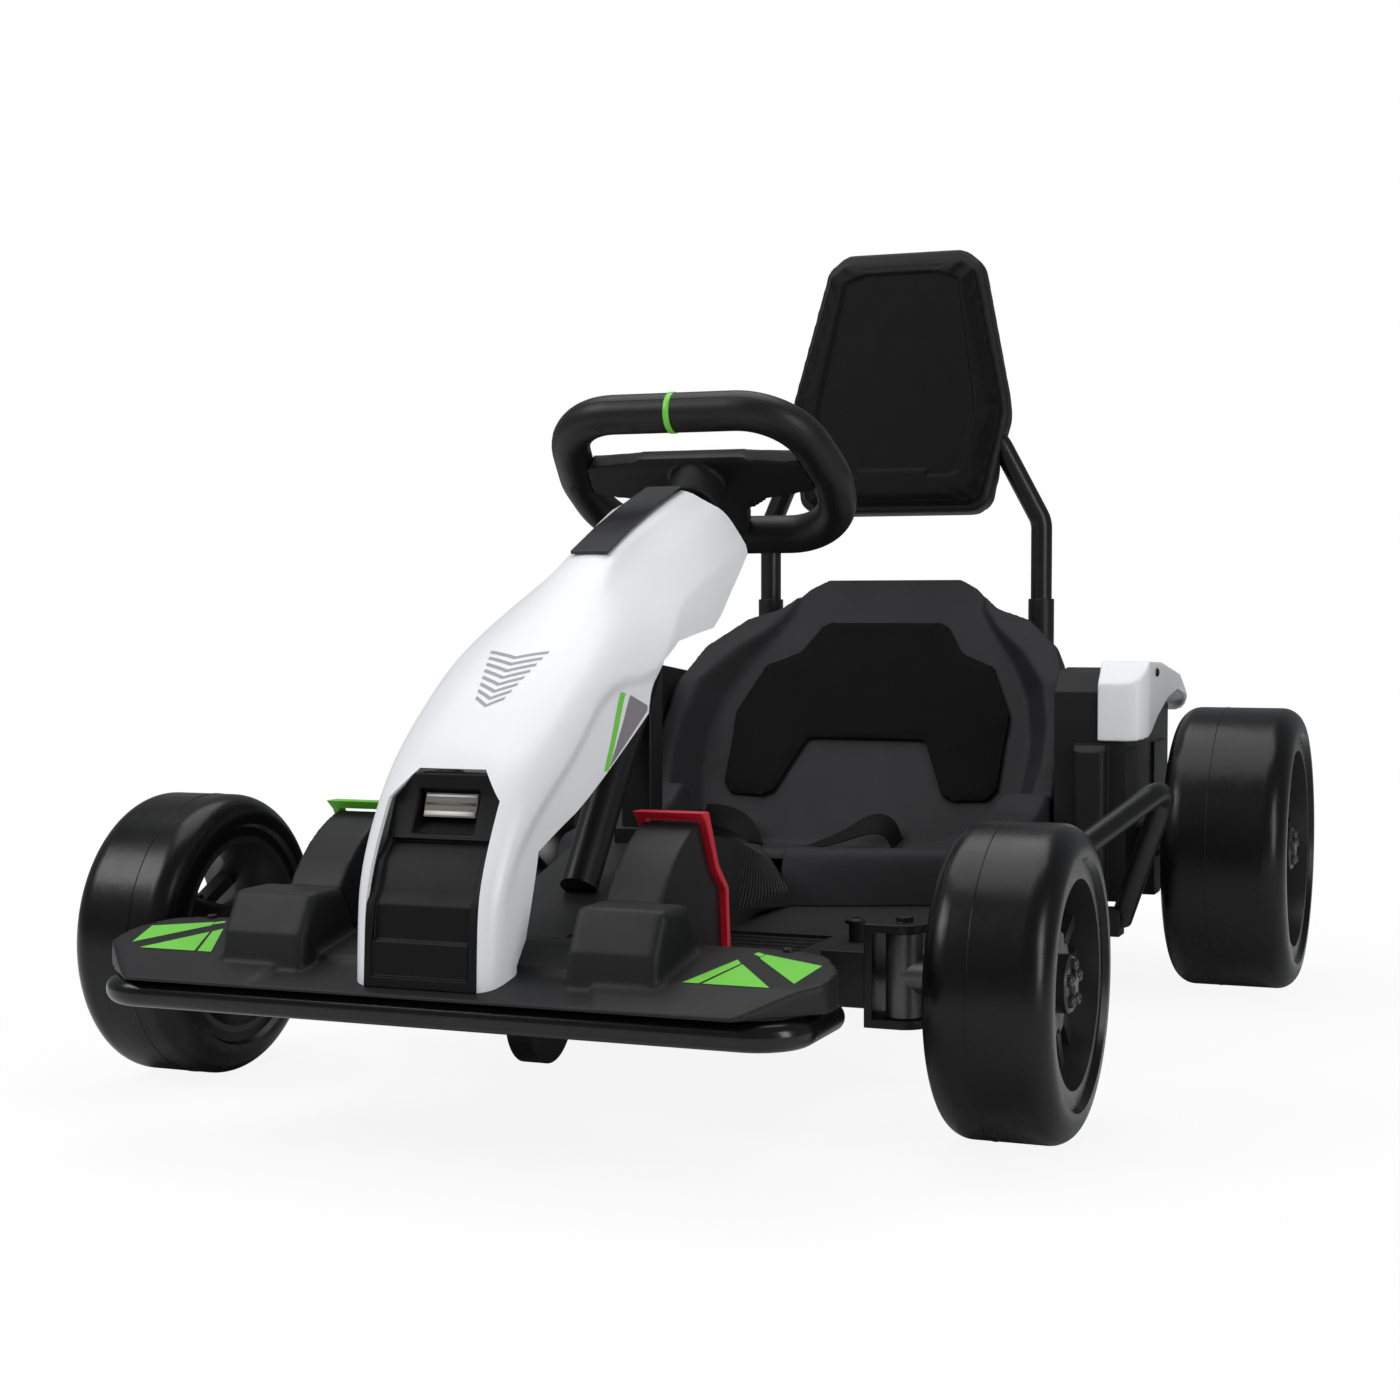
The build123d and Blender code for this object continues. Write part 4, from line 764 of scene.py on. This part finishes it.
def cushion(node, name, look, voxel, turns, inset, cap, rear):
    """Foam pad made from a CAD pad, with its back face held; lengths in millimetres.

    It is remeshed and smoothed, shrunk by the inset and swelled by cloth, by no more than the cap.
    """
    mesh = NODES[node].data.copy()
    piece = piece_of(name, mesh, look)
    if mesh.attributes.get("custom_normal"):
        mesh.attributes.remove(mesh.attributes["custom_normal"])
    form = bmesh.new()
    form.from_mesh(mesh)
    bmesh.ops.remove_doubles(form, verts=form.verts, dist=MERGE_REACH)
    form.to_mesh(mesh)
    form.free()
    flow(piece, voxel, turns)
    mesh = settled(piece)
    start = []
    for vert in mesh.vertices:
        share = 0.0 if vert.normal.dot(rear) > STILL_FACING else 1.0
        start.append(vert.co - vert.normal * inset * share * MM)
    for vert, co in zip(mesh.vertices, start):
        vert.co = co
    held = piece.vertex_groups.new(name="held")
    held.add([v.index for v in mesh.vertices if v.normal.dot(rear) > HELD_FACING], 1.0, "REPLACE")
    step = piece.modifiers.new("cloth", "CLOTH")
    step.settings.quality, step.settings.mass = CLOTH_QUALITY, CLOTH_MASS
    step.settings.use_pressure = True
    step.settings.uniform_pressure_force = CLOTH_PRESSURE
    step.settings.vertex_group_mass = "held"
    step.settings.effector_weights.gravity = 0
    for number in range(1, CLOTH_STEPS + 1):
        bpy.context.scene.frame_set(number)
    graph = bpy.context.evaluated_depsgraph_get()
    swollen = [v.co.copy() for v in piece.evaluated_get(graph).data.vertices]
    piece.modifiers.clear()
    bpy.context.scene.frame_set(1)
    for vert, co, new in zip(mesh.vertices, start, swollen):
        move = new - co
        if move.length > cap * MM:
            move *= cap * MM / move.length
        vert.co = co + move
    finer = piece.modifiers.new("finer", "SUBSURF")
    finer.levels = finer.render_levels = 1
    settled(piece)
    for face in piece.data.polygons:
        face.use_smooth = True
    piece.data.materials.clear()
    piece.data.materials.append(LOOKS[look].mat)
    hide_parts(node)
    return piece


def leaning(degrees):
    """Directions up and back for a face that leans back by an angle."""
    lean = math.radians(degrees)
    return Vector((0, math.sin(lean), math.cos(lean))), Vector((0, math.cos(lean), -math.sin(lean)))


SEAT_BACK = leaning(30)[1]
back_foam = cushion("seat_back_pad", "back_foam", "foam_pad", 2.5, 3, 0.8, 1.2, SEAT_BACK)

BACK_UP, BACK_REAR = leaning(9)
rest_pad = cushion("backrest_pad", "backrest_cushion", "backrest_skin", 3.0, 10, 1.0, 2.2, BACK_REAR)

# The backrest's sunk middle panel, with a notch in its lower edge: (across, up) in millimetres
BACK_FOOT, PANEL_DEPTH = at(0, 768, 468), 2.2
PANEL = [Vector(p) for p in mirrored(((38, 252), (62, 244), (84, 120), (86, 100), (72, 36), (60, 32)))]
NOTCH_HALF, NOTCH_TOP, STEP_WIDTH = 38, 39, 4


def soft_step(distance):
    """0 to 1 across an edge, by the distance inside it."""
    share = min(1.0, max(0.0, 0.5 + distance / STEP_WIDTH))
    return share * share * (3 - 2 * share)


def sunk_share(x, v):
    """1 well inside the panel's outline, 0 outside it and in the notch of its lower edge."""
    nearest = float("inf")
    for a, b in zip(PANEL, PANEL[1:] + PANEL[:1]):
        side = (b - a).normalized()
        nearest = min(nearest, side.y * (x - a.x) - side.x * (v - a.y))
    return soft_step(nearest) * (1 - soft_step(NOTCH_HALF - abs(x)) * soft_step(NOTCH_TOP - v))


for vert in rest_pad.data.vertices:
    if vert.normal.dot(BACK_REAR) < -PANEL_FACING:
        place = vert.co - BACK_FOOT
        vert.co += BACK_REAR * PANEL_DEPTH * MM * sunk_share(place.x / MM, place.dot(BACK_UP) / MM)


# Lap belt: two webbing ends that lie in the corner of the seat
BELT_WIDTH, BELT_THICK = 24, 1.6
BELT_SECTION = ((1, 0.4), (0.96, 1), (-0.96, 1), (-1, 0.4), (-1, -0.4), (-0.96, -1), (0.96, -1), (1, -0.4))


def strap(name, line):
    """Flat webbing along points, each with the direction of its width: (x, s, z, direction)."""
    def build(form):
        places = corner_cut([at(*p[:3]) for p in line], 3)
        sides = corner_cut([Vector(p[3:]) for p in line], 3)
        loops = []
        for i, (place, side) in enumerate(zip(places, sides)):
            ahead = (places[min(i + 1, len(places) - 1)] - places[max(i - 1, 0)]).normalized()
            side = (side - ahead * side.dot(ahead)).normalized() * BELT_WIDTH / 2 * MM
            up = ahead.cross(side).normalized() * BELT_THICK / 2 * MM
            loops.append([place + a * side + b * up for a, b in BELT_SECTION])
        skin(form, loops)
    piece = piece_of(name, mesh_of(name, build), "webbing")
    keep_sharp(piece)


strap("belt_left", ((-156, 634, 150, 0, 0.5, 1), (-130, 624, 150, 0, 0.5, 1), (-106, 612, 143, 0, 0.7, 0.7),
                    (-88, 602, 126, 0, 1, 0.1)))
strap("belt_right", ((-34, 598, 124, 0, 1, 0.1), (0, 604, 134, 0, 0.9, 0.4), (28, 610, 149, 0, 0.7, 0.7),
                     (46, 616, 148, 0, 0.6, 0.8), (54, 622, 128, 0, 0.7, 0.7)))

# Seat front: the rolled edge over the front wall, which the solid leaves open near the tunnel.
# Each row is a height with its line of (across, behind the front axle), in millimetres.
ROLL_LIFT, ROLL_WALL, ROLL_BACK, ROLL_BACK_Z = 0.6, 2.5, 9, 152.0
SEAT_ROLL = (
    (105.5, ((39, 316), (91, 333), (156, 362), (180, 372), (211, 400))),
    (124, ((38, 323), (90, 337), (155, 364), (179.5, 373), (211, 401))),
    (140, ((37, 332), (89, 342), (154, 366), (179, 375), (210, 402))),
    (149, ((36, 339), (88, 349), (153, 371), (177, 380), (207, 405))),
    (152.6, ((35, 350), (87, 359), (151, 380), (173, 388), (200, 411))),
)
for side, hand in SIDES:
    def roll(form, side=side):
        rows = []
        for z, front in SEAT_ROLL:
            rows.append(corner_cut([at(side * x, s - ROLL_LIFT, z) for x, s in front], 2))
        inner = corner_cut([at(side * x, s + ROLL_BACK, ROLL_BACK_Z) for x, s in SEAT_ROLL[-1][1]], 2)
        columns = [corner_cut(list(column), 2) for column in zip(*(rows + [inner]))]
        sheet(form, list(zip(*columns)), side > 0)
    piece = piece_of(f"seat_roll_{hand}", mesh_of(f"seat_roll_{hand}", roll), "seat_plastic")
    thicken(piece, ROLL_WALL)

# Headlamp: thin strips that stand out of the sloping lens by less than a millimetre, coloured as the
# reflector's light and dark bands of painted reflection.
# Each is a height, how tall, how deep and its look; lengths in millimetres.
LAMP_REFLECTION_BANDS = ((228.2, 3.4, 0.9, "lamp_painted_reflection_light"), (234.2, 2.0, 0.6, "lamp_painted_reflection_dark"),
              (239.4, 1.8, 0.9, "lamp_painted_reflection_light"))
LENS_FOOT, REFLECTION_BAND_ENDS = (-198.9, 226), (-18, -6, 6, 18)
# Each strip's look is a painted reflection, light or dark.
for i, (z, tall, deep, look) in enumerate(LAMP_REFLECTION_BANDS):
    s = LENS_FOOT[0] + (z - LENS_FOOT[1]) / 3
    section = ((0, -tall / 2), (-deep, -tall / 4), (-deep, tall / 4), (0, tall / 2), (1, 0))
    reflection_band = [[at(x, s + a, z + b) for a, b in section] for x in REFLECTION_BAND_ENDS]
    reflection_band_mesh = mesh_of(f"lamp_reflection_band_{i}", lambda form: skin(form, reflection_band))
    piece_of(f"lamp_reflection_band_{i}", reflection_band_mesh, look)

# Bolts: x, s, z near the surface that each sits on, its direction, radius and height, in millimetres
BOLTS = {
    "floor_boss": (162, 150, 124.5, (0, 0, 1), 8, 4), "floor_rear": (192, 330, 105.5, (0, 0, 1), 5, 3),
    "wing_outer": (214, -150, 142, (0, 0, 1), 3.6, 2.4), "guard": (300, 640, 300, (1, 0, 0), 4, 2.5),
}
RAY_START, RAY_REACH = 0.05, 0.12
for name, (x, s, z, way, radius, tall) in BOLTS.items():
    for side, hand in SIDES:
        out = Vector((way[0] * side, way[1], way[2]))
        place = at(x * side, s, z)
        hits = []
        for node in ("floor_pan", "front_wing", f"rear_fender_{hand}"):
            hits.append(surface(node).ray_cast(place + out * RAY_START, -out, RAY_REACH)[0])
        hits = [hit for hit in hits if hit is not None]
        if hits:
            bolt(f"bolt_{name}_{hand}", max(hits, key=out.dot), out, radius, tall)


# Camera, light and floor

CAMERA_PLACE, CAMERA_VIEW = at(675.3, -1445.3, 359.1), Vector((-0.353, 0.934, -0.046))
camera_data = bpy.data.cameras.new("camera")
camera_data.lens, camera_data.sensor_width = 56.329, 36.0
camera_data.shift_x, camera_data.shift_y = -0.0330, 0.0079
camera_data.clip_start, camera_data.clip_end = 0.01, 50
camera = bpy.data.objects.new("camera", camera_data)
bpy.context.scene.collection.objects.link(camera)
camera.location = CAMERA_PLACE
camera.rotation_mode = "QUATERNION"
camera.rotation_quaternion = CAMERA_VIEW.to_track_quat("-Z", "Y")
bpy.context.scene.camera = camera


def area_light(name, place, aim, size, power):
    """Rectangular lamp at a place, turned to its aim; metres and watts."""
    data = bpy.data.lights.new(name, "AREA")
    data.shape, data.size, data.size_y, data.energy = "RECTANGLE", size[0], size[1], power
    lamp = bpy.data.objects.new(name, data)
    lamp.location = place
    lamp.rotation_euler = (Vector(aim) - Vector(place)).to_track_quat("-Z", "Y").to_euler()
    bpy.context.scene.collection.objects.link(lamp)


area_light("key", (-1.7, -1.8, 2.2), (0, 0, 0.3), (1.6, 1.2), 42)
area_light("top", (-0.3, 0.3, 2.6), (0, 0, 0.2), (2.2, 2.2), 36)
area_light("side", (2.5, -1.2, 1.0), (0, 0, 0.3), (0.7, 1.6), 26)


def seen_apart(tree, lit, seen, output, share=None):
    """Gives the output one shader for the camera, by a share, and another one for all else."""
    fac = tree.nodes.new("ShaderNodeLightPath").outputs["Is Camera Ray"]
    if share is not None:
        part = tree.nodes.new("ShaderNodeMath")
        part.operation = "MULTIPLY"
        tree.links.new(fac, part.inputs[0])
        tree.links.new(share, part.inputs[1])
        fac = part.outputs[0]
    pick = tree.nodes.new("ShaderNodeMixShader")
    for source, socket in zip((fac, lit.outputs[0], seen.outputs[0]), pick.inputs):
        tree.links.new(source, socket)
    tree.links.new(pick.outputs[0], tree.nodes[output].inputs["Surface"])


WORLD_TINT, WORLD_STRENGTH = (0.95, 0.97, 1.0, 1), 0.24
world = bpy.data.worlds.new("studio")
bpy.context.scene.world = world
world.use_nodes = True
tree = world.node_tree
dim = tree.nodes["Background"]
dim.inputs["Color"].default_value, dim.inputs["Strength"].default_value = WORLD_TINT, WORLD_STRENGTH
white = tree.nodes.new("ShaderNodeBackground")
white.inputs["Color"].default_value = (1, 1, 1, 1)
seen_apart(tree, dim, white, "World Output")

# The floor keeps a pale shadow near the kart and turns plain white away from it, so no horizon shows.
# The fade runs between two distances in metres, and its share of white between two levels.
FLOOR_HALF, FLOOR_TINT = 8, (0.88, 0.88, 0.88, 1)
FADE_REACH, FADE_SHARE = (0.45, 1.1), (0.90, 1.0)
floor_mesh = bpy.data.meshes.new("floor")
corners = [(x * FLOOR_HALF, y * FLOOR_HALF, 0) for x, y in ((-1, -1), (1, -1), (1, 1), (-1, 1))]
floor_mesh.from_pydata(corners, [], [(0, 1, 2, 3)])
floor = bpy.data.objects.new("floor", floor_mesh)
bpy.context.scene.collection.objects.link(floor)
floor_look = bpy.data.materials.new("floor")
floor_look.use_nodes = True
tree = floor_look.node_tree
tree.nodes.remove(tree.nodes["Principled BSDF"])
matt = tree.nodes.new("ShaderNodeBsdfDiffuse")
matt.inputs["Color"].default_value = FLOOR_TINT
glow = tree.nodes.new("ShaderNodeEmission")
glow.inputs["Color"].default_value = (1, 1, 1, 1)
distance = tree.nodes.new("ShaderNodeVectorMath")
distance.operation = "LENGTH"
fade = tree.nodes.new("ShaderNodeMapRange")
fade.inputs["From Min"].default_value, fade.inputs["From Max"].default_value = FADE_REACH
fade.inputs["To Min"].default_value, fade.inputs["To Max"].default_value = FADE_SHARE
tree.links.new(tree.nodes.new("ShaderNodeTexCoord").outputs["Object"], distance.inputs[0])
tree.links.new(distance.outputs["Value"], fade.inputs["Value"])
seen_apart(tree, matt, glow, "Material Output", fade.outputs["Result"])
floor_mesh.materials.append(floor_look)

bpy.context.scene.view_settings.view_transform = "Standard"
